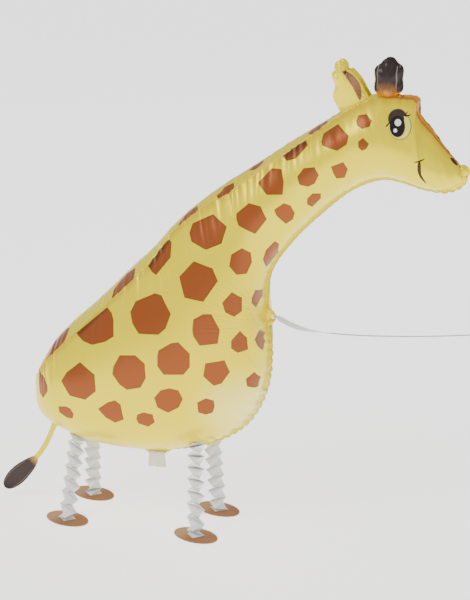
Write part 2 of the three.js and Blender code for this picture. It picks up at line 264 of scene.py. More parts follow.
def inkShape(tree, along, up, centre, half, turn=0.0, bend=0.0, soft=0.1):
    # soft-edged oval in a flat drawing: half sizes, turn in degrees, and a bend that bows it sideways
    c, s = math.cos(math.radians(turn)), math.sin(math.radians(turn))
    p = calc(tree, "MULTIPLY_ADD", up, s, -(c * centre[0] + s * centre[1]))
    p = calc(tree, "MULTIPLY_ADD", along, c, p)
    q = calc(tree, "MULTIPLY_ADD", up, c, s * centre[0] - c * centre[1])
    q = calc(tree, "MULTIPLY_ADD", along, -s, q)
    square = times(tree, q, q)
    p = calc(tree, "MULTIPLY_ADD", square, -bend, p)
    p = calc(tree, "DIVIDE", p, half[0])
    total = calc(tree, "MULTIPLY_ADD", square, 1 / half[1] ** 2, times(tree, p, p))
    return ramp(tree, total, 1 + soft, 1 - soft)


# The inflated foil: its sections from rump to muzzle, as the CAD has them but for a fuller brow
foil = {
    "length": 0.653,
    "bellyClearance": 0.110,
    "halfThickness": 0.088,
    "bellyFullness": 0.1,
    "seamEdge": 0.0055,
    "scallopPitch": 0.012,
    "scallopDepth": 0.0011,
    "ridgeHeight": 0.0018,
    "valveNeck": 0.006,
    "valveHalfWidth": 0.0123,
    # where the painted highlight on the belly is brightest
    "highlightAt": (246, 408),       # photo point
    "rows": 520,
    "gussetColumns": 12,
    "panelColumns": 48,
    "seamStep": 0.005,          # half the sealed edge's thickness, as a turn in radians
    "crowding": 0.75,           # how much closer the columns stand beside the seams
    # relief of the film: depth, and how far from its seam it dies away
    "seamDip": (0.0024, 0.007),
    "bellyDip": (0.0016, 0.010),
    "bellyFolds": (0.0042, 0.034),
    "backFolds": (0.0038, 0.026),
    "edgeWave": (0.0008, 0.009),
    "swell": 0.0012,
    "sections": [
        ("rump", (1.0, 9.4), (1.0, 9.4), 0), ("tail head", (0.9, 12.9), (1.9, 6.6), 0.25),
        ("croup", (2.0, 17.9), (4.0, 4.9), 0.5), ("hip", (4.4, 22.9), (8.6, 2.9), 0.72),
        ("loin", (9.6, 28.9), (15.6, 0.9), 0.88), ("back", (17.0, 35.9), (24.2, 0.2), 0.97),
        ("mid back", (24.0, 42.9), (34.4, 1.3), 1), ("ribs", (29.5, 48.2), (44.3, 4.4), 0.99),
        ("shoulder", (34.6, 53.9), (51.2, 9.4), 0.93), ("withers", (39.4, 58.5), (55.3, 17.2), 0.85),
        ("chest", (44.3, 62.3), (56.4, 26.8), 0.76), ("neck root", (49.1, 65.7), (55.4, 36.3), 0.68),
        ("low neck", (53.6, 68.8), (56.3, 45.0), 0.62), ("mid neck", (58.5, 72.2), (61.0, 52.3), 0.58),
        ("high neck", (64.2, 76.0), (67.6, 59.2), 0.57), ("throat", (70.0, 79.9), (74.8, 65.2), 0.57),
        ("nape", (75.4, 83.4), (81.2, 67.8), 0.56), ("crown", (80.2, 85.5), (86.1, 67.4), 0.53),
        ("eyes", (85.2, 85.5), (89.6, 66.4), 0.49), ("brow", (88.8, 85.2), (92.4, 66.0), 0.455),
        ("stop", (89.2, 81.7), (94.2, 65.9), 0.435), ("bridge", (91.7, 78.9), (95.9, 66.2), 0.37),
        ("nose", (94.5, 75.2), (97.3, 66.8), 0.28), ("nostrils", (97.1, 72.2), (98.4, 67.9), 0.16),
        ("muzzle", (98.7, 69.8), (98.7, 69.8), 0),
    ],
    # half width of the back panel, as a share of the half thickness
    "gussetShare": [
        ("rump", 0.3), ("tail head", 0.46), ("croup", 0.62), ("hip", 0.67), ("loin", 0.59), ("back", 0.51),
        ("mid back", 0.48), ("ribs", 0.45), ("shoulder", 0.33), ("withers", 0.33), ("chest", 0.41),
        ("neck root", 0.52), ("mid neck", 0.56), ("high neck", 0.54), ("throat", 0.45), ("nape", 0.41),
        ("crown", 0.34), ("eyes", 0.24), ("brow", 0.19), ("stop", 0.12), ("bridge", 0.19), ("nose", 0.17),
        ("muzzle", 0.16),
    ],
    # how far the head narrows towards its top
    "pinch": [("nape", 0), ("crown", 0.12), ("eyes", 0.28), ("brow", 0.46), ("stop", 0.57), ("bridge", 0.52),
              ("nostrils", 0.3), ("muzzle", 0)],
    # how far the sides of the face fall back behind its middle, in metres, and how softly that starts
    "fallBack": [("eyes", 0), ("brow", 0.008), ("stop", 0.010), ("bridge", 0.006), ("nostrils", 0)],
    "fallBackEase": 0.15,
    # height of the ridge on the back seams, as a share
    "ridgeShare": [("rump", 1), ("nape", 1), ("crown", 0.5), ("eyes", 0.3), ("brow", 0.12), ("muzzle", 0.12)],
    # how strongly the belly seam and the back seams are puckered
    "bellyPucker": [
        ("rump", 0.8), ("hip", 0.5), ("back", 0.35), ("mid back", 0.7), ("ribs", 1.1), ("withers", 1.1),
        ("chest", 0.7), ("neck root", 0.3), ("throat", 0.25), ("eyes", 0.4), ("bridge", 1.0), ("muzzle", 1.0),
    ],
    "backPucker": [
        ("rump", 1.0), ("croup", 0.9), ("loin", 0.5), ("chest", 0.4), ("throat", 0.45), ("nape", 0.45),
        ("crown", 0.45), ("brow", 0.5), ("bridge", 0.3), ("muzzle", 0.3),
    ],
}
sectionNames = [section[0] for section in foil["sections"]]


def shareAt(name):
    return sectionNames.index(name) / (len(sectionNames) - 1)


valveShare = shareAt("back") + 0.022
lugShare = shareAt("neck root") - 0.009
hornShare = shareAt("crown") + 0.017
earShare = shareAt("nape") + 0.001


def sectionLine(pair):
    points = []
    for section in foil["sections"]:
        x, z = section[pair]
        percent = foil["length"] / 100
        points.append((rumpX + x * percent, section[3] * foil["halfThickness"],
                       foil["bellyClearance"] + z * percent))
    return points


backPoints, bellyPoints = sectionLine(1), sectionLine(2)


def backLine(shares):
    return catmullRom(backPoints, shares)


def bellyLine(shares):
    return catmullRom(bellyPoints, shares)


def valueAlong(table, shares):
    return np.interp(shares, [shareAt(name) for name, _ in table], [value for _, value in table])


def sideShare(shares, turns):
    pinch = valueAlong(foil["pinch"], shares)[:, None]
    fullness = 1 - foil["bellyFullness"] * np.cos(turns)
    return np.sin(turns) * fullness * (1 - pinch * np.cos(turns / 2) ** 4)


def foilSurface(shares, turns):
    # shares has one value a row, turns one a vertex: 0 on the back, pi on the belly, over 0 to the right
    back, belly = backLine(shares), bellyLine(shares)
    half = ((back[:, 1] + belly[:, 1]) / 2)[:, None]
    down = (1 - np.cos(turns)) / 2
    out = half * sideShare(shares, turns)
    sideways, ease = np.sin(turns) ** 2, foil["fallBackEase"]
    fallBack = valueAlong(foil["fallBack"], shares)[:, None] * (1 + ease) * sideways / (sideways + ease)
    x = back[:, :1] * (1 - down) + belly[:, :1] * down - fallBack
    z = back[:, 2:] * (1 - down) + belly[:, 2:] * down
    return np.stack([x, -out, z], axis=2)


def foilNormals(shares, turns):
    step = 1e-4
    ahead, behind = np.clip(shares + step, 0, 1), np.clip(shares - step, 0, 1)
    alongway = foilSurface(ahead, turns) - foilSurface(behind, turns)
    around = foilSurface(shares, turns + step) - foilSurface(shares, turns - step)
    normals = np.cross(alongway, around)
    return normals / np.maximum(np.linalg.norm(normals, axis=2, keepdims=True), 1e-12)


def evenShares(count):
    fine = np.linspace(0, 1, 4000)
    mean = (runningLength(backLine(fine)) + runningLength(bellyLine(fine))) / 2
    return np.interp(np.linspace(0, mean[-1], count), mean, fine)


def gussetTurn(shares):
    ratio = valueAlong(foil["gussetShare"], shares)
    turn = np.arcsin(ratio)
    for _ in range(12):
        widths = sideShare(shares, turn[:, None])[:, 0] / np.sin(turn)
        turn = np.arcsin(np.clip(ratio / widths, 0, 0.99))
    return turn


def ringStations(seamTurn):
    # turns round one side, from the middle of the back to the belly seam, and how far each stands proud
    step = foil["seamStep"]
    gusset = [seamTurn * k / foil["gussetColumns"] for k in range(foil["gussetColumns"])]
    panel = []
    for k in range(1, foil["panelColumns"]):
        share = k / foil["panelColumns"]
        eased = share - foil["crowding"] * math.sin(2 * math.pi * share) / (2 * math.pi)
        panel.append(seamTurn + step + (math.pi - seamTurn - 2 * step) * eased)
    pi = np.full_like(seamTurn, math.pi)
    turns = [*gusset, seamTurn - step, seamTurn, seamTurn + step, *panel, pi - step, pi]
    kinds = ["gusset"] * (len(gusset) + 1) + ["ridge"] + ["panel"] * (len(panel) + 2) + ["edge"]
    return np.stack(turns, axis=1), kinds


def folds(along, away, seed, pitch, reach):
    # sharp-bottomed creases that run away from a seam
    value = np.empty_like(along)
    flatAlong, flatAway, flat = along.ravel() / pitch, away.ravel() / reach, value.ravel()
    for k in range(flat.size):
        flat[k] = noise.noise(Vector((flatAlong[k], flatAway[k], seed)))
    return 0.45 - 1.8 * np.abs(flat.reshape(along.shape))


def makeEnvelope():
    shares = evenShares(foil["rows"])
    seamTurn = gussetTurn(shares)
    oneSide, kinds = ringStations(seamTurn)
    count = len(kinds)
    turns = np.concatenate([oneSide, -oneSide[:, -2::-1]], axis=1)
    columnKinds = kinds + kinds[-2::-1]
    side = np.concatenate([np.full(count, -1.0), np.full(count - 1, 1.0)])
    base = foilSurface(shares, turns)
    normals = foilNormals(shares, turns)
    normals[:, count - 1] = normals[:, count - 1] * 0
    middle = base[:, 0]
    lower = bellyLine(shares)
    backRun, bellyRun = runningLength(middle), runningLength(lower)

    steps = np.linalg.norm(np.diff(base, axis=1), axis=2)
    around = np.concatenate([np.zeros((len(shares), 1)), np.cumsum(steps, axis=1)], axis=1)
    bellyAt = around[:, count - 1:count]
    fromBelly = np.abs(around - bellyAt)
    ridge = kinds.index("ridge")
    columns = around.shape[1]
    fromSeam = np.minimum(np.abs(around - around[:, ridge:ridge + 1]),
                          np.abs(around - around[:, columns - 1 - ridge:columns - ridge]))
    backAlong = np.repeat(backRun[:, None], columns, axis=1)
    bellyAlong = np.repeat(bellyRun[:, None], columns, axis=1)
    sideShift = np.where(side > 0, 7.3, 0.0)[None, :] + np.zeros_like(base[:, :, 0])

    bellyPucker = valueAlong(foil["bellyPucker"], shares)[:, None]
    backPucker = valueAlong(foil["backPucker"], shares)[:, None]
    half = ((backLine(shares)[:, 1] + lower[:, 1]) / 2)[:, None]
    fade = np.clip(half / 0.03, 0, 1)
    seamDepth = valueAlong(foil["ridgeShare"], shares)[:, None]

    def near(relief, away):
        depth, reach = foil[relief]
        return depth * np.exp(-away / reach)

    lift = -near("seamDip", fromSeam) * seamDepth - near("bellyDip", fromBelly)
    lift += near("bellyFolds", fromBelly) * bellyPucker * folds(bellyAlong, fromBelly, 3.1, 0.013, 0.09)
    backShifted = backAlong + 0.31 * sideShift
    lift += near("backFolds", fromSeam) * backPucker * folds(backShifted, fromSeam, 8.7, 0.010, 0.08)
    wave = np.cos(2 * math.pi * bellyAlong / foil["scallopPitch"])
    lift += near("edgeWave", fromBelly) * bellyPucker * wave
    lift += foil["swell"] * folds(backAlong, around + sideShift, 5.5, 0.11, 0.14)
    lift *= fade
    places = base + normals * lift[:, :, None]

    # sealed edges: a low ridge on the back seams and a wider edge along the belly seam
    for column in (ridge, columns - 1 - ridge):
        beads = 1 + 0.3 * np.cos(2 * math.pi * backRun / 0.007 + column)
        height = foil["ridgeHeight"] * valueAlong(foil["ridgeShare"], shares) * beads * fade[:, 0]
        places[:, column] += normals[:, column] * height[:, None]
    tangent = np.gradient(lower, bellyRun, axis=0)
    outward = np.stack([tangent[:, 2], np.zeros(len(shares)), -tangent[:, 0]], axis=1)
    outward /= np.maximum(np.linalg.norm(outward, axis=1, keepdims=True), 1e-9)
    puckered = ((shares > shareAt("mid back")) & (shares < shareAt("chest"))) | (shares > shareAt("brow"))
    lobes = 2 * np.abs(np.sin(math.pi * bellyRun / foil["scallopPitch"])) - 1
    scallop = np.where(puckered, foil["scallopDepth"], 0.0003) * lobes
    start = np.clip((shares - shareAt("tail head")) / 0.03, 0, 1) * np.clip((1 - shares) / 0.012, 0, 1)
    valveRun = np.interp(valveShare, shares, bellyRun)
    flare = np.clip((2.1 * foil["valveHalfWidth"] - np.abs(bellyRun - valveRun))
                    / (1.1 * foil["valveHalfWidth"]), 0, 1)
    edge = (foil["seamEdge"] + scallop + foil["valveNeck"] * flare ** 1.6) * start
    tip = count - 1
    sway = 0.0006 * np.sin(2 * math.pi * bellyRun / (foil["scallopPitch"] * 2)) * np.where(puckered, 1, 0.15)
    places[:, tip] = lower * [1, 0, 1] + outward * edge[:, None]
    places[:, tip, 1] += sway * start

    sideOf = {"gusset": 1.0, "ridge": 0.0}
    gussetSide = np.array([sideOf.get(kind, -1.0) for kind in columnKinds])
    marks = {
        "gussetSide": np.repeat(gussetSide[None, :], len(shares), axis=0),
        "seamDistance": fromSeam,
        "neckCreases": np.repeat(np.interp(shares, [0.3, 0.42, 0.5, 0.66, 0.74, 0.8],
                                           [0.25, 0.7, 1, 1, 0.5, 0.2])[:, None], columns, axis=1),
        "spotDistance": np.full(fromSeam.shape, 0.02),
    }
    maps = np.stack([(backAlong + bellyAlong) / 2, around], axis=2)
    run = {"shares": shares, "back": backRun, "belly": bellyRun}
    return places, maps, marks, run


# Printed spots, as corner points read off the photo. Flank spots lie on both side panels.
spotGrowth = 0.0011      # the corners were read inside the darker rim
flankSpots = [
    [(77, 333), (107, 308), (111, 313), (113, 320), (113, 336), (105, 341), (92, 344), (83, 340)],
    [(131, 312), (136, 302), (155, 294), (161, 296), (170, 314),
     (165, 328), (158, 334), (139, 333), (133, 323)],
    [(158, 356), (159, 351), (171, 344), (178, 343), (189, 354),
     (189, 367), (183, 374), (164, 374), (158, 366)],
    [(120, 356), (135, 356), (144, 364), (145, 378), (140, 387),
     (127, 389), (120, 384), (113, 374), (114, 367)],
    [(80, 363), (94, 375), (94, 378), (92, 382), (95, 388),
     (95, 391), (85, 399), (70, 395), (62, 381), (67, 373)],
    [(40, 372), (44, 378), (47, 386), (47, 391), (43, 397), (40, 392)],
    [(59, 407), (66, 407), (70, 409), (73, 414), (72, 418), (67, 417), (60, 412)],
    [(99, 409), (108, 403), (115, 401), (120, 405), (123, 419), (115, 422), (106, 417)],
    [(138, 415), (144, 413), (152, 415), (154, 422), (148, 426), (139, 423), (137, 419)],
    [(155, 398), (161, 391), (169, 389), (178, 391), (182, 399), (178, 407), (168, 412), (158, 407)],
    [(198, 403), (206, 399), (213, 401), (214, 406), (212, 412), (206, 414), (199, 412)],
    [(206, 364), (224, 361), (229, 372), (221, 383), (214, 385), (204, 376)],
    [(247, 379), (254, 373), (259, 378), (257, 386), (248, 386)],
    [(193, 330), (194, 320), (203, 315), (211, 315), (219, 330), (217, 343), (200, 345), (194, 336)],
    [(232, 341), (240, 332), (246, 338), (247, 349), (238, 352), (232, 348)],
    [(256, 339), (259, 333), (261, 335), (263, 342), (262, 347), (259, 345)],
    [(223, 303), (232, 293), (241, 298), (241, 311), (234, 316), (226, 312)],
    [(253, 298), (256, 291), (260, 291), (260, 297), (256, 305), (253, 302)],
    [(180, 277), (194, 262), (212, 269), (217, 281), (203, 301), (185, 297)],
    [(230, 266), (232, 255), (242, 249), (250, 253), (251, 262), (246, 273), (237, 274)],
    [(264, 259), (267, 250), (275, 242), (278, 244), (277, 252), (267, 265)],
    [(193, 224), (213, 215), (226, 227), (221, 243), (206, 249), (192, 241), (190, 233)],
    [(237, 214), (249, 204), (260, 207), (266, 219), (255, 233), (239, 225), (237, 219)],
    [(275, 210), (284, 204), (290, 206), (294, 213), (292, 219), (286, 223), (277, 215)],
    [(259, 183), (272, 169), (281, 170), (283, 182), (282, 194), (267, 194)],
    [(148, 265), (165, 244), (169, 240), (171, 243), (170, 257), (156, 274), (152, 271)],
    [(322, 142), (324, 134), (338, 125), (348, 136), (346, 144), (337, 150), (323, 145)],
    [(357, 121), (359, 116), (366, 115), (371, 121), (369, 126), (362, 128), (358, 125)],
    [(359, 142), (363, 139), (368, 144), (366, 148), (362, 150), (359, 147)],
    [(332, 167), (343, 163), (347, 169), (344, 177), (337, 178), (334, 173)],
    [(298, 177), (304, 169), (314, 168), (318, 175), (314, 183), (308, 186), (300, 184)],
    [(308, 199), (313, 194), (320, 194), (320, 198), (312, 206), (308, 204)],
    [(283, 156), (290, 148), (306, 141), (307, 145), (301, 152), (295, 158), (287, 160)],
]

# Back panel spots: middle as a photo point, length and width in metres, and the far row's shift forward
backSpots = {
    "seen": [(45, 382), (60, 340), (127, 281), (190, 215), (228, 190), (258, 165), (319, 127)],
    "sizes": [(0.044, 0.040), (0.058, 0.046), (0.052, 0.040), (0.042, 0.028), (0.036, 0.020), (0.028, 0.018),
              (0.034, 0.022)],
    "farShift": 0.060,
}


def spotField(points, corners):
    # signed distance to a polygon's edge, negative inside
    distance = np.full(len(points), 1e3)
    inside = np.zeros(len(points), bool)
    for k, a in enumerate(corners):
        b = corners[(k + 1) % len(corners)]
        run = b - a
        share = np.clip((points - a) @ run / max(run @ run, 1e-12), 0, 1)
        distance = np.minimum(distance, np.linalg.norm(points - a - share[:, None] * run, axis=1))
        crosses = (a[1] > points[:, 1]) != (b[1] > points[:, 1])
        with np.errstate(divide="ignore", invalid="ignore"):
            cut = a[0] + (points[:, 1] - a[1]) * run[0] / run[1]
        inside ^= crosses & (points[:, 0] < cut)
    return np.where(inside, -distance, distance)


def flankSpotDistance(tree, along, up, bvh):
    # nearest of the flank spots: each is the inside of all its edges, seen from the side
    nearest = None
    for corners in flankSpots:
        hits = [bvh.ray_cast(*photoRay(x, y))[0] for x, y in corners]
        flat = [Vector((hit.x, hit.z)) for hit in hits if hit is not None and hit.y < 0.02]
        if len(flat) < 3:
            continue
        flat = [flat[k] for k in geometry.convex_hull_2d(flat)]
        middle = sum(flat, Vector((0, 0))) / len(flat)
        reach = None
        for a, b in zip(flat, flat[1:] + flat[:1]):
            outward = Vector((b.y - a.y, a.x - b.x)).normalized()
            if outward.dot(a - middle) < 0:
                outward = -outward
            edge = calc(tree, "MULTIPLY_ADD", along, outward.x, -outward.dot(a) - spotGrowth)
            edge = calc(tree, "MULTIPLY_ADD", up, outward.y, edge)
            reach = edge if reach is None else calc(tree, "MAXIMUM", reach, edge)
        nearest = reach if nearest is None else calc(tree, "MINIMUM", nearest, reach)
    return nearest


def printBackSpots(places, marks, run, bvh):
    distance = marks["spotDistance"]
    gusset = marks["gussetSide"] > 0.5
    along = np.repeat(run["back"][:, None], places.shape[1], axis=1)
    points = np.stack([along, places[:, :, 1]], axis=2)[gusset]
    found = np.full(len(points), 0.02)
    random.seed(11)
    for (x, y), (length, width) in zip(backSpots["seen"], backSpots["sizes"]):
        hit = bvh.ray_cast(*photoRay(x, y))[0]
        if hit is None:
            continue
        nearest = np.argmin(np.linalg.norm(places[:, 0] - np.array(hit), axis=1))
        for shift, sideways in ((0, hit.y), (backSpots["farShift"], -hit.y)):
            centre = np.array((run["back"][nearest] + shift, sideways))
            sides = random.choice((6, 7))
            turn = random.uniform(0, 6)
            corners = []
            for k in range(sides):
                angle = turn + 2 * math.pi * k / sides
                grow = random.uniform(0.9, 1.1)
                corners.append(centre + grow * np.array((length / 2 * math.cos(angle),
                                                         width / 2 * math.sin(angle))))
            found = np.minimum(found, spotField(points, corners))
    distance[gusset] = found


# Face drawn on the side panels: places are photo points, sizes are millimetres as seen
drawing = {
    "eye": (398, 123),
    "mouth": (422, 173),
    "nostril": (454, 161.5),
    "ear": (353, 84),
    "pixel": 1.45,              # millimetres in one photo pixel
}


def drawingPlane(tree, centre, bvh, reach=3.0):
    # flat coordinates in millimetres as the photo shows them, right and up from a photo point
    hits = {}
    for name, (dx, dy) in {"here": (0, 0), "east": (reach, 0), "west": (-reach, 0),
                           "north": (0, -reach), "south": (0, reach)}.items():
        hits[name] = bvh.ray_cast(*photoRay(centre[0] + dx, centre[1] + dy))[0]
    east = (hits["east"] - hits["west"]) / (2 * reach * drawing["pixel"])
    north = (hits["north"] - hits["south"]) / (2 * reach * drawing["pixel"])
    turn = Matrix(((east.x, north.x), (east.z, north.z))).inverted()
    source = tree.nodes.new("ShaderNodeTexCoord")
    shift = tree.nodes.new("ShaderNodeVectorMath")
    shift.operation = "SUBTRACT"
    tree.links.new(source.outputs["Object"], shift.inputs[0])
    shift.inputs[1].default_value = hits["here"]
    found = []
    for row in turn:
        node = tree.nodes.new("ShaderNodeVectorMath")
        node.operation = "DOT_PRODUCT"
        tree.links.new(shift.outputs[0], node.inputs[0])
        node.inputs[1].default_value = (row[0], 0, row[1])
        found.append(node.outputs["Value"])
    return found


filmFinish = {"Roughness": 0.3, "Metallic": 0.4, "Coat_Weight": 0.06, "Coat_Roughness": 0.12,
              "Specular_IOR_Level": 0.22}
inks = {
    "yellow": (0.85, 0.67, 0.0),
    "paleYellow": (0.91, 0.75, 0.004),
    "highlightCream": (1.0, 0.93, 0.36),
    "seamGoldShade": (0.66, 0.41, 0.0),
    "foldShadow": (0.085, 0.026, 0.008),
    "spot": (0.29, 0.072, 0.014),
    "spotRim": (0.20, 0.070, 0.008),
    "forehead": (0.66, 0.24, 0.016),
    "foreheadSeamShade": (0.34, 0.12, 0.02),
    "black": (0.018, 0.014, 0.014),
    "lid": (0.055, 0.038, 0.032),
    "eyeWhite": (0.90, 0.86, 0.16),
    "white": (0.96, 0.96, 0.94),
    "line": (0.05, 0.026, 0.010),
}


printing = {
    "highlightReach": 0.085, "highlightStrength": 0.6,
    "seamShade": (0.0028, 0.0012), "seamShadeStrength": 0.8,
    "spotEdge": 0.0004, "spotRim": (0.0010, 0.0020),
    "fold": (0.015, 0.003), "foldShadeGold": 0.55, "foldShadeDark": 0.85,
}


def drawEye(tree, colour, u, v):
    k = drawing["pixel"]
    shapes = [
        ((1.6 * k, -3.2 * k), (11.4 * k, 14.0 * k), 0, 0, "line"),
        ((1.3 * k, -3.0 * k), (10.9 * k, 13.6 * k), 0, 0, "eyeWhite"),
        ((-0.6 * k, 4.4 * k), (9.5 * k, 9.6 * k), 0, 0, "lid"),
        ((4.6 * k, -4.0 * k), (7.0 * k, 11.4 * k), 0, 0, "eyeWhite"),
        ((-1.5 * k, 4.0 * k), (7.6 * k, 8.8 * k), 0, 0, "lid"),
        ((-0.75 * k, -3.7 * k), (7.7 * k, 10.8 * k), 0, 0, "black"),
        ((9.0 * k, 6.9 * k), (0.75 * k, 3.9 * k), 97, 0.05, "black"),
        ((8.0 * k, 9.4 * k), (0.5 * k, 2.2 * k), -35, 0, "black"),
        ((-10.2 * k, -1.8 * k), (0.75 * k, 3.0 * k), -42, -0.03, "black"),
        ((-0.1 * k, 0.4 * k), (3.3 * k, 3.5 * k), 0, 0, "white"),
        ((-2.8 * k, -7.6 * k), (1.9 * k, 2.0 * k), 0, 0, "white"),
    ]
    for centre, half, turn, bend, ink in shapes:
        colour = mixColour(tree, inkShape(tree, u, v, centre, half, turn, bend), colour, inks[ink])
    return colour


def foilMaterial(bvh):
    material, tree, shader = newMaterial("printedFoil", **filmFinish)
    base = place(tree)
    cloudy = noiseOf(tree, base, 5.0, 2.0)
    colour = mixColour(tree, ramp(tree, cloudy, 0.35, 0.75), inks["yellow"], inks["paleYellow"])

    # painted highlight: paler towards the front of the belly
    split = splitOf(tree, base)
    front = bvh.ray_cast(*photoRay(*foil["highlightAt"]))[0]
    ahead = minus(tree, split[0], front.x)
    rise = minus(tree, split[2], front.z)
    spread = calc(tree, "SQRT", calc(tree, "MULTIPLY_ADD", rise, rise, times(tree, ahead, ahead)))
    pale = times(tree, ramp(tree, spread, printing["highlightReach"], 0.0), printing["highlightStrength"])
    colour = mixColour(tree, pale, colour, inks["highlightCream"])

    # orange-brown back panel from the crown to the nose, with a darker line of painted shade along its seams
    crownX = float(backLine([shareAt("crown")])[0, 0])
    onGusset = ramp(tree, mark(tree, "gussetSide"), -0.4, 0.4)
    headward = ramp(tree, split[0], crownX - 0.015, crownX + 0.02)
    onHead = times(tree, onGusset, headward)
    colour = mixColour(tree, onHead, colour, inks["forehead"])
    seamShade = ramp(tree, mark(tree, "seamDistance"), *printing["seamShade"])
    seamShade = times(tree, times(tree, seamShade, headward), printing["seamShadeStrength"])
    colour = mixColour(tree, seamShade, colour, inks["foreheadSeamShade"])

    # brown spots with a darker rim
    flank = flankSpotDistance(tree, split[0], split[2], bvh)
    distance = ramp(tree, onGusset, 0.49, 0.51, flank, mark(tree, "spotDistance"))
    onRim = ramp(tree, distance, printing["spotEdge"], -printing["spotEdge"])
    colour = mixColour(tree, onRim, colour, inks["spotRim"])
    rimEnd, spotStart = printing["spotRim"]
    colour = mixColour(tree, ramp(tree, distance, -rimEnd, -spotStart), colour, inks["spot"])

    # painted shade of a soft fold along the back seams: golden on the yellow, dark where it crosses a spot
    below = minus(tree, 1.0, onGusset)
    foldShade = times(tree, ramp(tree, mark(tree, "seamDistance"), *printing["fold"]), below)
    onSpot = ramp(tree, distance, 0.0, -0.0015)
    goldShade = times(tree, minus(tree, 1.0, onSpot), printing["foldShadeGold"])
    colour = mixColour(tree, times(tree, foldShade, goldShade), colour, inks["seamGoldShade"])
    # the dark painted fold shadow on the spots
    dark = times(tree, onSpot, printing["foldShadeDark"])
    colour = mixColour(tree, times(tree, foldShade, dark), colour, inks["foldShadow"])

    # face
    u, v = drawingPlane(tree, drawing["eye"], bvh)
    colour = drawEye(tree, colour, u, v)
    k = drawing["pixel"]
    u, v = drawingPlane(tree, drawing["mouth"], bvh)
    for centre, half, turn, bend in (((-2.4 * k, -0.9 * k), (1.4 * k, 12.2 * k), 18.9, 0.0142),
                                     ((-3.0 * k, 4.6 * k), (1.75 * k, 6.2 * k), 8, 0.012),
                                     ((-3.3 * k, 11.0 * k), (0.8 * k, 5.0 * k), 103, 0.02)):
        colour = mixColour(tree, inkShape(tree, u, v, centre, half, turn, bend), colour, inks["line"])
    u, v = drawingPlane(tree, drawing["nostril"], bvh, 1.2)
    nostril = inkShape(tree, u, v, (0, 0), (1.5 * k, 5.2 * k), 40)
    colour = mixColour(tree, times(tree, nostril, below), colour, inks["line"])

    # fine creases across the neck, and a faint unevenness of the film
    across = noiseOf(tree, place(tree, scale=(280, 14, 1), uvName="surface"), 1.0, 1.0)
    creases = times(tree, across, mark(tree, "neckCreases"))
    normal = bumpOf(tree, creases, 0.5, 0.0006)

    # fine creases that fan out from the chest lug
    chest = bellyLine([lugShare])[0]
    ahead = minus(tree, split[0], float(chest[0]) + 0.03)
    rise = minus(tree, split[2], float(chest[2]))
    fan = tree.nodes.new("ShaderNodeCombineXYZ")
    turn = calc(tree, "ARCTAN2", rise, calc(tree, "ABSOLUTE", ahead))
    tree.links.new(times(tree, turn, 34.0), fan.inputs[0])
    reach = calc(tree, "SQRT", calc(tree, "MULTIPLY_ADD", rise, rise, times(tree, ahead, ahead)))
    tree.links.new(times(tree, reach, 9.0), fan.inputs[1])
    fanned = times(tree, noiseOf(tree, fan.outputs[0], 1.0, 1.0), ramp(tree, reach, 0.14, 0.05))
    normal = bumpOf(tree, fanned, 0.6, 0.0012, normal)
    film = noiseOf(tree, base, 60.0, 2.0)
    wire(tree, shader, colour, bumpOf(tree, film, 0.12, 0.0006, normal))
    return material


def makeFoilBody():
    places, maps, marks, run = makeEnvelope()
    bm = closeUp(rolledGrid(places, maps, marks))
    bvh = BVHTree.FromBMesh(bm)
    bm.free()
    printBackSpots(places, marks, run, bvh)
    bm = closeUp(rolledGrid(places, maps, marks))
    material = foilMaterial(bvh)
    piece = makePiece("foil_body", bm, material, ["foil_giraffe"])
    return piece, bvh, run


foilBody, foilBvh, foilRun = makeFoilBody()
print("foil body made:", len(foilBody.data.polygons), "faces")


# Horns and ears: flat pockets, welded round the edge and puffed up
horn = {
    "width": 0.038, "height": 0.055, "thickness": 0.015, "lobes": 0.07, "spread": 0.008, "sink": 0.008,
    "brown": (0.15, 0.055, 0.014), "black": (0.026, 0.016, 0.014), "edge": (0.022, 0.015, 0.014),
    "line": (0.34, 0.26, 0.23),
}
ear = {
    "length": 0.068, "thickness": 0.013, "spread": 0.0075, "lean": 0.04, "sink": 0.010,
    "root": (0.20, 0.085, 0.03), "hollow": (0.36, 0.16, 0.085), "dark": (0.10, 0.05, 0.03),
    "edge": [(0.36, 0.0), (0.30, 0.24), (0.20, 0.4), (0.10, 0.57), (-0.02, 0.72), (-0.14, 0.815),
             (-0.225, 0.80), (-0.225, 0.87), (-0.27, 0.955), (-0.345, 0.99), (-0.42, 0.955), (-0.455, 0.87),
             (-0.445, 0.79), (-0.495, 0.74), (-0.505, 0.65), (-0.44, 0.50), (-0.445, 0.41), (-0.48, 0.28),
             (-0.45, 0.16), (-0.39, 0.06), (-0.33, -0.04), (0, -0.14)],
}


def hornOutline(count=180):
    turn = np.linspace(0, 2 * math.pi, count, endpoint=False)
    lobe = 1 - horn["lobes"] * np.cos(6 * turn)
    square = np.abs(np.cos(turn)) ** 0.75 * np.sign(np.cos(turn))
    return np.stack([horn["width"] / 2 * square * lobe,
                     horn["height"] / 2 * (1 + np.sin(turn) * lobe)], axis=1)


def earOutline(count=180):
    edge = np.array(ear["edge"])
    wrapped = np.vstack([edge[-2:], edge, edge[:3]])
    inner = np.linspace(2, 2 + len(edge), count, endpoint=False) / (len(wrapped) - 1)
    curve = catmullRom(np.column_stack([wrapped, np.zeros(len(wrapped))]), inner)
    return curve[:, :2] * ear["length"]


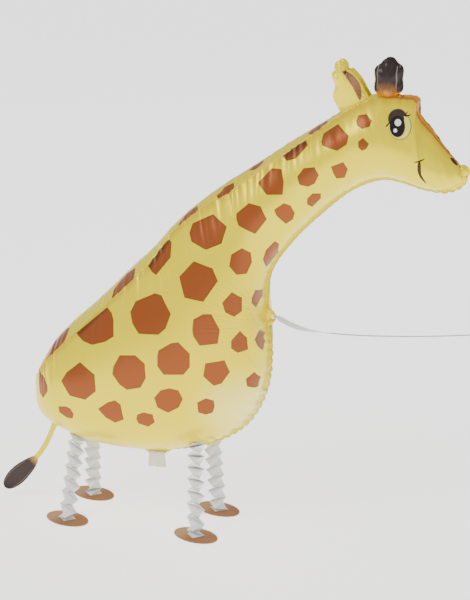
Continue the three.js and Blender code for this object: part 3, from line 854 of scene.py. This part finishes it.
def pocketPlaces(outline, thickness, puckers, depth, seed, rim=0.0022):
    # rings from the middle of one face, over the welded rim, to the middle of the other
    middle = outline.mean(axis=0)
    size = np.linalg.norm(outline - middle, axis=1).mean()
    flat = 1 - rim / size
    shares = np.concatenate([np.linspace(0, flat, 20), [flat + 0.3 * (1 - flat), 1.0]])
    rings = []
    run = runningLength(np.vstack([outline, outline[:1]]))[:-1]
    for side, order in ((-1, shares), (1, shares[-2::-1])):
        for share in order:
            ring = middle + (outline - middle) * share
            inside = min(share / flat, 1.0)
            puff = (1 - inside ** 2.4) ** 0.55 if inside < 1 else 0.0
            wave = np.cos(2 * math.pi * puckers * run / run[-1] + seed)
            crease = 1 - depth * (0.5 - 0.5 * wave) * inside ** 5
            bulge = thickness / 2 * puff * crease + 0.00025 * (share < 1)
            rings.append(np.column_stack([ring[:, 0], side * bulge, ring[:, 1]]))
    places = np.array(rings)
    return np.concatenate([places, places[:, :1]], axis=1)


def standPocket(places, share, settings, side):
    foot = backLine([share])[0]
    lean = settings.get("lean", 0.0) * side
    turned = places.copy()
    turned[:, :, 1] = places[:, :, 1] * math.cos(lean) + places[:, :, 2] * math.sin(lean)
    turned[:, :, 2] = places[:, :, 2] * math.cos(lean) - places[:, :, 1] * math.sin(lean)
    return turned + np.array((foot[0], side * settings["spread"], foot[2] - settings["sink"]))


def hornMaterial():
    material, tree, shader = newMaterial("hornFoil", Roughness=0.3, Metallic=0.2, Coat_Weight=0.12,
                                         Coat_Roughness=0.1, Specular_IOR_Level=0.25)
    split = splitOf(tree, place(tree))
    foot = backLine([hornShare])[0]
    up = minus(tree, split[2], float(foot[2]))
    sideways = calc(tree, "ABSOLUTE", minus(tree, split[0], float(foot[0])))
    streaks = noiseOf(tree, place(tree, scale=(420, 60, 60)), 1.0, 2.0)
    level = calc(tree, "MULTIPLY_ADD", streaks, 0.010, up)
    colour = mixColour(tree, ramp(tree, level, 0.012, 0.026), horn["brown"], horn["black"])
    colour = mixColour(tree, ramp(tree, level, 0.003, 0.014), inks["forehead"], colour)
    outer = ramp(tree, sideways, 0.0135, 0.0142)
    dark = times(tree, outer, ramp(tree, up, 0.001, 0.006))
    colour = mixColour(tree, dark, colour, horn["edge"])
    fromFrame = calc(tree, "ABSOLUTE", minus(tree, sideways, 0.0133))
    frameLine = times(tree, ramp(tree, fromFrame, 0.0011, 0.0004), ramp(tree, up, 0.006, 0.016))
    colour = mixColour(tree, times(tree, frameLine, 0.55), colour, horn["line"])
    film = noiseOf(tree, place(tree), 70.0, 2.0)
    wire(tree, shader, colour, bumpOf(tree, film, 0.15, 0.0006))
    return material


def earMaterial(bvh):
    material, tree, shader = newMaterial("earFoil", **filmFinish)
    cloudy = noiseOf(tree, place(tree), 8.0, 2.0)
    colour = mixColour(tree, ramp(tree, cloudy, 0.35, 0.75), inks["yellow"], inks["paleYellow"])
    u, v = drawingPlane(tree, drawing["ear"], bvh)
    k = drawing["pixel"]
    streaks = noiseOf(tree, place(tree, scale=(60, 60, 500)), 1.0, 2.0)
    hairy = calc(tree, "MULTIPLY_ADD", streaks, 2.2, minus(tree, u, 1.1))
    crescent = inkShape(tree, hairy, v, (1.8 * k, 0.3 * k), (3.7 * k, 17.2 * k), 31, -0.010, 0.16)
    shade = mixColour(tree, ramp(tree, v, -14 * k, 4 * k), ear["root"], ear["hollow"])
    shade = mixColour(tree, ramp(tree, v, 6 * k, 14 * k), shade, ear["dark"])
    split = splitOf(tree, place(tree))
    outside = ramp(tree, calc(tree, "ABSOLUTE", split[1]), ear["spread"] + 0.0010,
                   ear["spread"] + 0.0026)
    colour = mixColour(tree, times(tree, crescent, outside), colour, shade)
    for centre in ((-6.2, 8.6), (-5.0, 5.9), (-3.5, 3.2), (-2.1, 0.4)):
        tick = inkShape(tree, u, v, (centre[0] * k, centre[1] * k), (0.38 * k, 2.4 * k), 54)
        colour = mixColour(tree, times(tree, tick, outside), colour, ear["dark"])
    film = noiseOf(tree, place(tree), 70.0, 2.0)
    wire(tree, shader, colour, bumpOf(tree, film, 0.15, 0.0006))
    return material


def makeHornsAndEars():
    hornFinish = hornMaterial()
    hornPlaces = pocketPlaces(hornOutline(), horn["thickness"], 6, 0.6, math.pi)
    earPlaces = pocketPlaces(earOutline(), ear["thickness"], 19, 0.30, 0.4)
    for word, side in (("right", -1), ("left", 1)):
        places = standPocket(hornPlaces, hornShare, horn, side)
        makePiece(f"horn_{word}", closeUp(rolledGrid(places)), hornFinish, ["foil_giraffe"])
    nearEar = closeUp(rolledGrid(standPocket(earPlaces, earShare, ear, -1)))
    earFinish = earMaterial(BVHTree.FromBMesh(nearEar))
    makePiece("ear_right", nearEar, earFinish, ["foil_giraffe"])
    farEar = closeUp(rolledGrid(standPocket(earPlaces, earShare, ear, 1)))
    makePiece("ear_left", farEar, earFinish, ["foil_giraffe"])


makeHornsAndEars()
print("horns and ears made")


# Plain foil for what has no printing on it
def plainFoilMaterial(name):
    material, tree, shader = newMaterial(name, **filmFinish)
    base = place(tree)
    colour = mixColour(tree, ramp(tree, noiseOf(tree, base, 30.0), 0.35, 0.75), inks["yellow"],
                       inks["paleYellow"])
    wire(tree, shader, colour, bumpOf(tree, noiseOf(tree, base, 140.0, 3.0), 0.3, 0.0006))
    return material


# Puffed lobes of the sealed edge round the muzzle, from the upper lip to the chin
lip = {
    "lobes": [(0.0, 0.0098, -0.0008, 0.0012), (0.012, 0.0120, -0.0052, 0), (0.0245, 0.0118, -0.0062, 0),
              (0.037, 0.0115, -0.0070, 0), (0.050, 0.0105, -0.0078, 0)],    # run back, radius, outward, up
    "thickness": 0.008,
}


def makeLipLobes():
    finish = plainFoilMaterial("lipFoil")
    shares = foilRun["shares"]
    fromMuzzle = foilRun["belly"][-1] - foilRun["belly"]
    circle = np.linspace(0, 2 * math.pi, 48, endpoint=False)
    for k, (back, radius, outward, up) in enumerate(lip["lobes"]):
        share = float(np.interp(back, fromMuzzle[::-1], shares[::-1]))
        here = bellyLine([share])[0]
        ahead = bellyLine([min(share + 0.004, 1.0)])[0] - bellyLine([max(share - 0.004, 0.0)])[0]
        away = np.array((ahead[2], 0, -ahead[0])) / np.linalg.norm(ahead[[0, 2]])
        if k == 0:
            away = np.array((1.0, 0, 0))
        outline = np.stack([np.cos(circle), np.sin(circle)], axis=1) * radius
        places = pocketPlaces(outline, lip["thickness"], 3, 0.2, k)
        places += np.array((here[0], 0, here[2] + up)) + away * outward
        makePiece(f"lip_lobe_{k + 1}", closeUp(rolledGrid(places)), finish, ["foil_giraffe"])


makeLipLobes()
print("lip lobes made")


# Chest lug with its hole, and the leash ribbon that is tied through it
lug = {"reach": 0.015, "height": 0.034, "hole": 0.003, "thickness": 0.0009}
leash = {
    "width": 0.005, "spare": 0.0028, "thickness": 0.0005, "gap": 0.0003, "length": 0.33,
    # millimetres ahead of and above the lug
    "route": [(0, 0), (6, -3.4), (12, -6), (20, -9.4), (29, -12), (40, -14.2), (52, -15.5),
              (68, -16.3), (84, -16.5), (102, -16.1), (120, -15.5), (158, -13), (198, -9.5),
              (238, -5), (276, 0), (304, 4), (322, 6)],
    "twistFrom": 0.03, "twistTo": 0.09,
    "loopLength": 0.074, "loopHeight": 0.036, "knot": 0.004,
    "shade": (0.56, 0.58, 0.60), "white": (0.72, 0.74, 0.76),
}
lugPoint = bellyLine([lugShare])[0]
lugTipX = float(lugPoint[0]) + foil["seamEdge"] + lug["reach"] * 0.75
lugZ = float(lugPoint[2])
leashStart = Vector((lugTipX + leash["gap"] + leash["width"] / 3, 0, lugZ))


def makeLug():
    # a washer between the lug's outline and its hole
    segments = 64
    bm = bmesh.new()
    outer = bmesh.ops.create_circle(bm, segments=segments, radius=1.0)["verts"]
    inner = bmesh.ops.create_circle(bm, segments=segments, radius=lug["hole"])["verts"]
    rootX = float(lugPoint[0]) - foil["seamEdge"]
    half = lug["height"] / 2
    holeX = lugTipX - 2 * lug["hole"]
    for v in outer:
        turn = math.atan2(v.co.y, v.co.x)
        forward = max(0.0, math.cos(turn)) ** 0.8
        high = half * math.sin(turn) * (1 - 0.45 * forward)
        ahead = (lugTipX - rootX - 0.006) * forward + min(0.0, math.cos(turn)) * 0.006
        v.co = (rootX + 0.006 + ahead, 0, lugZ + high)
    for v in inner:
        v.co = (holeX + v.co.x, 0, lugZ + v.co.y)
    bmesh.ops.bridge_loops(bm, edges=bm.edges[:])
    bmesh.ops.subdivide_edges(bm, edges=bm.edges[:], cuts=1, use_grid_fill=True)
    bmesh.ops.recalc_face_normals(bm, faces=bm.faces)
    for v in bm.verts:
        v.co.y += 0.0006 * math.sin(v.co.x * 700) * math.cos(v.co.z * 500)
    bmesh.ops.solidify(bm, geom=bm.faces[:], thickness=lug["thickness"])
    bmesh.ops.recalc_face_normals(bm, faces=bm.faces)
    makePiece("chest_lug", bm, plainFoilMaterial("lugFoil"), ["foil_giraffe"])


def ribbonMaterial():
    material, tree, shader = newMaterial("leashRibbon", Roughness=0.4, Sheen_Weight=0.1, IOR=1.45)
    weave = noiseOf(tree, place(tree, scale=(1400, 40, 1), uvName="surface"), 1.0, 1.0)
    colour = mixColour(tree, weave, leash["shade"], leash["white"])
    wire(tree, shader, colour, bumpOf(tree, weave, 0.3, 0.0002))
    return material


def ribbonPlaces(points, acrossAt, width, thickness, closed=False, widthAt=None):
    # a flat section carried along a line: acrossAt gives the direction of its broad side
    points = np.asarray(points)
    tangents = np.gradient(points, axis=0)
    if closed:
        tangents[0] = tangents[-1] = points[1] - points[-2]
    tangents /= np.linalg.norm(tangents, axis=1, keepdims=True)
    run = runningLength(points)
    section = [(-0.5, -0.3), (-0.47, -0.5), (0.0, -0.5), (0.47, -0.5), (0.5, -0.3), (0.5, 0.3),
               (0.47, 0.5), (0.0, 0.5), (-0.47, 0.5), (-0.5, 0.3), (-0.5, -0.3)]
    rows = []
    for point, tangent, at in zip(points, tangents, run):
        across = np.asarray(acrossAt(at, tangent), float)
        across -= tangent * (across @ tangent)
        across /= np.linalg.norm(across)
        up = np.cross(tangent, across)
        here = widthAt(at) if widthAt else width
        rows.append([point + across * here * a + up * thickness * b for a, b in section])
    if not closed:
        rows.insert(0, [points[0]] * len(section))
        rows.append([points[-1]] * len(section))
    return np.array(rows)


def makeLeash():
    route = np.array([(x * millimetre, 0, z * millimetre) for x, z in leash["route"]]) + np.array(leashStart)
    points = catmullRom(route, np.linspace(0, 1, 221))
    finish = ribbonMaterial()

    def across(at, tangent):
        share = np.clip((at - leash["twistFrom"]) / (leash["twistTo"] - leash["twistFrom"]), 0, 1)
        turn = math.pi / 2 * (3 * share ** 2 - 2 * share ** 3)
        upright = np.cross(tangent, (0, 1, 0))
        return -upright * math.cos(turn) + np.array((0, 1, 0)) * math.sin(turn)

    def widthAt(at):
        wider = np.interp(at, (0, 0.004, 0.026, 0.05), (0.002, 1.0, 1.0, 0))
        return float(wider * leash["spare"] + leash["width"])

    places = ribbonPlaces(points, across, leash["width"], leash["thickness"], widthAt=widthAt)
    ribbon = makePiece("ribbon_leash", closeUp(rolledGrid(places)), finish, ["leash_ribbon"])

    # hand loop: a teardrop of the same ribbon that starts and ends in the knot
    end = points[-1]
    knotX = end[0] + leash["gap"] + leash["knot"]
    turns = np.linspace(0, 2 * math.pi, 121)
    run = (1 - np.cos(turns)) / 2
    high = (leash["loopHeight"] / 2 - leash["thickness"]) * np.sin(turns) * np.abs(np.sin(turns / 2)) ** 0.8
    loop = np.column_stack([knotX + 0.001 + run * (leash["loopLength"] - 0.002), np.zeros_like(run),
                            end[2] + high])
    loopBm = closeUp(rolledGrid(ribbonPlaces(loop, lambda at, tangent: (0, 1, 0), leash["width"],
                                             leash["thickness"])))
    handLoop = makePiece("ribbon_hand_loop", loopBm, finish, ["leash_hand_loop"])

    # knots: wound lumps of ribbon
    for name, x, z, radius in (("ribbon_knot", knotX, end[2], leash["knot"]),
                               ("ribbon_tie", leashStart.x + 0.0005, leashStart.z, 0.0024)):
        winding = np.linspace(0, 1, 241)
        angle = winding * math.pi * 9
        spread = np.sin(winding * math.pi)
        centre = np.column_stack([x + radius * 0.55 * np.cos(winding * math.pi * 2) * 0.6,
                                  radius * 0.62 * np.cos(angle) * (0.5 + 0.5 * spread),
                                  z + radius * 0.62 * np.sin(angle) * (0.5 + 0.5 * spread)])
        knotBm = closeUp(rolledGrid(ribbonPlaces(centre, lambda at, tangent: (1, 0.2, 0), radius * 0.9,
                                                 leash["thickness"])))
        makePiece(name, knotBm, finish)

    # loop through the lug's hole
    holeX = lugTipX - 2 * lug["hole"]
    radius = (leashStart.x - holeX) / 2
    turns = np.linspace(0, 2 * math.pi, 61)
    ring = np.column_stack([holeX + radius + radius * np.cos(turns), 0.0022 * np.sin(turns),
                            leashStart.z + 0.0004 * np.sin(2 * turns)])
    ringBm = closeUp(rolledGrid(ribbonPlaces(ring, lambda at, tangent: (0, 0, 1), 0.0022, leash["thickness"],
                                             True)))
    makePiece("ribbon_through_lug", ringBm, finish)


makeLug()
makeLeash()
print("lug and leash made")


# Tail: a flat foil strip that widens into a leaf-shaped tuft
tail = {
    "width": 0.008, "length": 0.080, "tuftLength": 0.083, "tuftWidth": 0.029, "thickness": 0.0005,
    "tuftLean": 0.78, "side": 0.00105,
    "knee": (-0.24, 0, -0.55), "end": (-0.5, 0, -0.92),     # shares of the strip's length
    "tuftStart": 0.48, "rootFlare": 0.6,
    "brown": (0.42, 0.19, 0.05), "tuft": (0.030, 0.018, 0.015), "tuftRim": (0.20, 0.13, 0.09),
}


def tailMaterial():
    material, tree, shader = newMaterial("tailFoil", Roughness=0.38, Metallic=0.2, Coat_Weight=0.05,
                                         Coat_Roughness=0.12, Specular_IOR_Level=0.3)
    split = splitOf(tree, place(tree, uvName="surface"))
    along, across = split[0], calc(tree, "ABSOLUTE", split[1])
    streaks = noiseOf(tree, place(tree, scale=(8, 22, 1), uvName="surface"), 1.0, 3.0)
    run = calc(tree, "MULTIPLY_ADD", streaks, 0.06, along)
    colour = mixColour(tree, ramp(tree, run, 0.50, 0.56), inks["yellow"], tail["brown"])
    colour = mixColour(tree, ramp(tree, run, 0.545, 0.62), colour, tail["tuft"])
    rim = ramp(tree, calc(tree, "ABSOLUTE", minus(tree, across, 0.80)), 0.07, 0.02)
    rim = times(tree, rim, ramp(tree, along, 0.58, 0.64))
    colour = mixColour(tree, times(tree, rim, 0.5), colour, tail["tuftRim"])
    wire(tree, shader, colour, bumpOf(tree, streaks, 0.35, 0.0008))
    return material


def makeTail():
    root = bellyLine([shareAt("croup") + 0.007])[0]
    start = np.array((root[0], tail["side"], root[2] - foil["seamEdge"] / 2 + 0.004))
    knee = start + np.array(tail["knee"]) * tail["length"]
    end = start + np.array(tail["end"]) * tail["length"]
    lean = np.array((-math.sin(tail["tuftLean"]), 0, -math.cos(tail["tuftLean"])))
    tuftRun = tail["tuftLength"] - tail["width"]
    points = [start, knee, end, end + lean * tuftRun * 0.5, end + lean * tuftRun]
    shares = np.linspace(0, 1, 91)
    line = catmullRom(points, shares)
    tangents = np.gradient(line, axis=0)
    tangents /= np.linalg.norm(tangents, axis=1, keepdims=True)
    run = runningLength(line)
    run /= run[-1]
    tuftStart = tail["tuftStart"]
    leaf = np.clip((run - tuftStart) / (1 - tuftStart), 0, 1)
    flare = 1 + tail["rootFlare"] * np.clip(1 - run / 0.16, 0, 1) ** 1.5
    half = np.where(run < tuftStart, tail["width"] / 2 * flare, 0)
    leafHalf = tail["tuftWidth"] * np.sqrt(leaf * (1 - leaf)) * (0.72 + 0.42 * leaf)
    half = np.maximum(np.where(run < tuftStart + 0.1, tail["width"] / 2 * np.clip(1.6 - 6 * leaf, 0, 1), 0),
                      np.maximum(half, leafHalf))
    columns = np.linspace(-1, 1, 13)
    across = np.cross(tangents, (0, 1, 0))
    places = line[:, None, :] + across[:, None, :] * (half[:, None] * columns[None, :])[:, :, None]
    cupped = 0.0022 * (1 - columns[None, :] ** 2)
    waved = 0.0015 * np.sin(run * 9)[:, None]
    places[:, :, 1] += (cupped + waved) * leaf[:, None]
    maps = np.stack(np.meshgrid(run, columns, indexing="ij"), axis=2)
    bm = closeUp(rolledGrid(places, maps))
    bmesh.ops.solidify(bm, geom=bm.faces[:], thickness=tail["thickness"])
    bmesh.ops.recalc_face_normals(bm, faces=bm.faces)
    makePiece("tail_strip", bm, tailMaterial(), ["foil_tail"])


makeTail()
print("tail made")


# Clear valve tab: a flat film sleeve under the foil neck, left bare
valve = {"width": 0.028, "length": 0.021, "thickness": 0.0005, "overlap": 0.004, "side": -0.0009}


def filmMaterial():
    material, tree, shader = newMaterial("clearFilm", Base_Color=(0.86, 0.79, 0.68, 1), Roughness=0.2,
                                         IOR=1.3, Transmission_Weight=0.5)
    wrinkles = noiseOf(tree, place(tree), 160.0, 3.0)
    tree.links.new(bumpOf(tree, wrinkles, 0.5, 0.0006), shader.inputs["Normal"])
    return material


def makeValveTab():
    point = bellyLine([valveShare])[0]
    lipZ = point[2] - foil["seamEdge"] - foil["valveNeck"]
    rows, columns = 25, 29
    places = np.zeros((rows, columns, 3))
    for i in range(rows):
        down = i / (rows - 1)
        half = valve["width"] / 2 * (0.9 + 0.1 * down)
        for j in range(columns):
            across = 2 * j / (columns - 1) - 1
            pinked = 0.0006 * math.cos(j * math.pi) * (down > 0.97)
            rippled = 0.0009 * math.sin(5 * across + 3 * down) * down
            places[i, j] = (point[0] + across * half, valve["side"] + rippled,
                            lipZ + valve["overlap"] - down * (valve["length"] + valve["overlap"]) + pinked)
    bm = closeUp(rolledGrid(places))
    bmesh.ops.solidify(bm, geom=bm.faces[:], thickness=valve["thickness"])
    bmesh.ops.recalc_face_normals(bm, faces=bm.faces)
    makePiece("valve_film", bm, filmMaterial(), ["valve_tab"])


makeValveTab()
print("valve tab made")


# Legs: two paper strips folded over each other into a square column, glued to the belly and to a card oval
leg = {
    "paper": 0.020, "thickness": 0.00028, "foldPitch": 0.0047, "gap": 0.0003, "topWidth": 0.052,
    "lean": {"back_right": 0.009, "back_left": 0.010, "front_right": -0.008, "front_left": -0.002},
    "shade": (0.86, 0.86, 0.85), "white": (0.95, 0.95, 0.94),
}
card = {
    "length": 0.075, "width": 0.049, "thickness": 0.0012, "turn": -0.39,
    # pale and dark: the card's brown outside and inside the painted shadow of its leg
    "pale": (0.50, 0.285, 0.145), "dark": (0.315, 0.135, 0.055), "grain": (0.33, 0.17, 0.085),
}


def paperMaterial():
    material, tree, shader = newMaterial("legPaper", Roughness=0.75, Subsurface_Weight=0.25,
                                         Subsurface_Scale=0.002)
    base = place(tree)
    fibres = noiseOf(tree, base, 900.0, 3.0)
    colour = mixColour(tree, fibres, leg["shade"], leg["white"])
    wire(tree, shader, colour, bumpOf(tree, fibres, 0.15, 0.0002))
    return material


def cardMaterial():
    material, tree, shader = newMaterial("footCard", Roughness=0.7)
    base = place(tree)
    # painted shadow of the leg: each oval turns from pale to dark across a slanted line through its middle
    mottled = noiseOf(tree, base, 45.0, 4.0, 0.6)
    flat = splitOf(tree, place(tree, uvName="surface"))
    lean = calc(tree, "MULTIPLY_ADD", flat[1], -0.9, flat[0])
    shade = ramp(tree, calc(tree, "MULTIPLY_ADD", mottled, 0.012, lean), -0.022, 0.026)
    grain = noiseOf(tree, place(tree, scale=(1, 0.25, 1)), 700.0, 3.0)
    colour = mixColour(tree, shade, card["pale"], card["dark"])
    colour = mixColour(tree, times(tree, grain, 0.35), colour, card["grain"])
    wire(tree, shader, colour, bumpOf(tree, grain, 0.25, 0.0003))
    return material


def foldCorners(foot, hit, normal, inward, hand):
    radius = leg["paper"] / math.sqrt(2)
    bottom = card["thickness"] + leg["gap"] + leg["thickness"]

    def heightUnder(x, y):
        return hit.z - (normal.x * (x - hit.x) + normal.y * (y - hit.y)) / normal.z - 2 * leg["gap"]

    climbs = round((heightUnder(hit.x, hit.y) - bottom) / leg["foldPitch"])
    corners = []
    for i in range(climbs + 7):
        rise = min(max((i - 3) / climbs, 0), 1)
        turn = inward + hand * (i - (climbs + 3)) * math.pi / 2
        x = foot.x + (hit.x - foot.x) * rise + radius * math.cos(turn)
        y = foot.y + (hit.y - foot.y) * rise + radius * math.sin(turn)
        corners.append(Vector((x, y, bottom + (heightUnder(x, y) - bottom) * rise)))
    return corners


def makeLeg(name, foot, side, finish):
    up = Vector((0, 0, 1))
    lean = leg["lean"][name]
    hit, normal, _, _ = foilBvh.ray_cast(Vector((foot.x + lean, side * leg["topWidth"] / 2, 0.004)), up)
    inward = math.pi / 2 if side < 0 else -math.pi / 2
    corners = foldCorners(foot, hit, normal, inward, -side)
    bm = bmesh.new()
    for strip in (0, 1):
        rungs = []
        for i in range(strip, len(corners) - 1, 2):
            pair = corners[i], corners[i + 1]
            middle = (pair[0] + pair[1]) / 2
            shrunk = [middle + (c - middle) * (0.985 - 0.02 * strip) for c in pair]
            order = shrunk if (i // 2) % 2 == 0 else shrunk[::-1]
            rungs.append([bm.verts.new(c) for c in order])
        for a, b in zip(rungs, rungs[1:]):
            bm.faces.new((a[0], a[1], b[1], b[0]))
    bmesh.ops.subdivide_edges(bm, edges=bm.edges[:], cuts=3, use_grid_fill=True)
    bmesh.ops.recalc_face_normals(bm, faces=bm.faces)
    bmesh.ops.solidify(bm, geom=bm.faces[:], thickness=leg["thickness"])
    bmesh.ops.recalc_face_normals(bm, faces=bm.faces)
    makePiece(f"paper_strips_{name}", bm, finish, [f"paper_leg_{name}"], smooth=False)


def makeFoot(name, foot, finish):
    bm = bmesh.new()
    uvLayer = bm.loops.layers.uv.new("surface")
    bmesh.ops.create_circle(bm, segments=96, radius=0.5, cap_ends=True)
    bmesh.ops.scale(bm, vec=(card["length"], card["width"], 1), verts=bm.verts)
    bmesh.ops.rotate(bm, matrix=Matrix.Rotation(card["turn"], 3, "Z"), verts=bm.verts)
    bmesh.ops.translate(bm, vec=(foot.x, foot.y, 0), verts=bm.verts)
    raised = bmesh.ops.extrude_face_region(bm, geom=bm.faces[:])["geom"]
    tops = [v for v in raised if isinstance(v, bmesh.types.BMVert)]
    bmesh.ops.translate(bm, vec=(0, 0, card["thickness"]), verts=tops)
    bmesh.ops.recalc_face_normals(bm, faces=bm.faces)
    rim = [e for e in bm.edges if len(e.link_faces) == 2 and e.calc_face_angle() > 1.2]
    bmesh.ops.bevel(bm, geom=rim, offset=0.00025, segments=2, profile=0.5, affect="EDGES", material=-1)
    for face in bm.faces:
        for loop in face.loops:
            loop[uvLayer].uv = (loop.vert.co.x - foot.x, loop.vert.co.y - foot.y)
    makePiece(f"card_oval_{name}", bm, finish, [f"card_foot_{name}"], smooth=False)


def makeLegsAndFeet():
    paper, board = paperMaterial(), cardMaterial()
    for end in ("back", "front"):
        for word, side in (("right", -1), ("left", 1)):
            name = f"{end}_{word}"
            low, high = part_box(f"card_foot_{name}")
            foot = Vector(((low.x + high.x) / 2, (low.y + high.y) / 2, 0))
            makeLeg(name, foot, side, paper)
            makeFoot(name, foot, board)


makeLegsAndFeet()
print("legs and feet made")


# Studio
studio = {
    "floor": (0.97, 0.97, 0.97), "floorSize": 12, "floorGlow": 1.4, "floorDrop": 0.0005,
    "world": (1.0, 1.0, 1.0), "worldStrength": 0.8,
    "lamps": [      # name, place, watts, size
        ("keyLight", (-1.4, -1.9, 2.5), 34, 1.3),
        ("fillLight", (2.4, -1.8, 1.6), 8, 2.2),
        ("rimLight", (0.4, 2.4, 2.4), 12, 2.0),
    ],
    "lampsAimAt": Vector((0, 0, 0.35)),
}


def makeStudio():
    bm = bmesh.new()
    bmesh.ops.create_grid(bm, x_segments=1, y_segments=1, size=studio["floorSize"])
    mesh = bpy.data.meshes.new("studioFloor")
    bm.to_mesh(mesh)
    bm.free()
    material, tree, shader = newMaterial("studioFloor", Base_Color=(*studio["floor"], 1), Roughness=0.9,
                                         Emission_Color=(1, 1, 1, 1), Emission_Strength=studio["floorGlow"])
    mesh.materials.append(material)
    floor = bpy.data.objects.new("studioFloor", mesh)
    floor.location.z = -studio["floorDrop"]
    bpy.context.scene.collection.objects.link(floor)
    world = bpy.data.worlds.new("studioWorld")
    world.use_nodes = True
    background = world.node_tree.nodes["Background"]
    background.inputs["Color"].default_value = (*studio["world"], 1)
    background.inputs["Strength"].default_value = studio["worldStrength"]
    bpy.context.scene.world = world
    for name, position, power, size in studio["lamps"]:
        data = bpy.data.lights.new(name, "AREA")
        data.energy = power
        data.size = size
        lamp = bpy.data.objects.new(name, data)
        lamp.location = position
        aim = studio["lampsAimAt"] - Vector(position)
        lamp.rotation_mode = "QUATERNION"
        lamp.rotation_quaternion = aim.to_track_quat("-Z", "Y")
        bpy.context.scene.collection.objects.link(lamp)


makeStudio()
print("studio made")
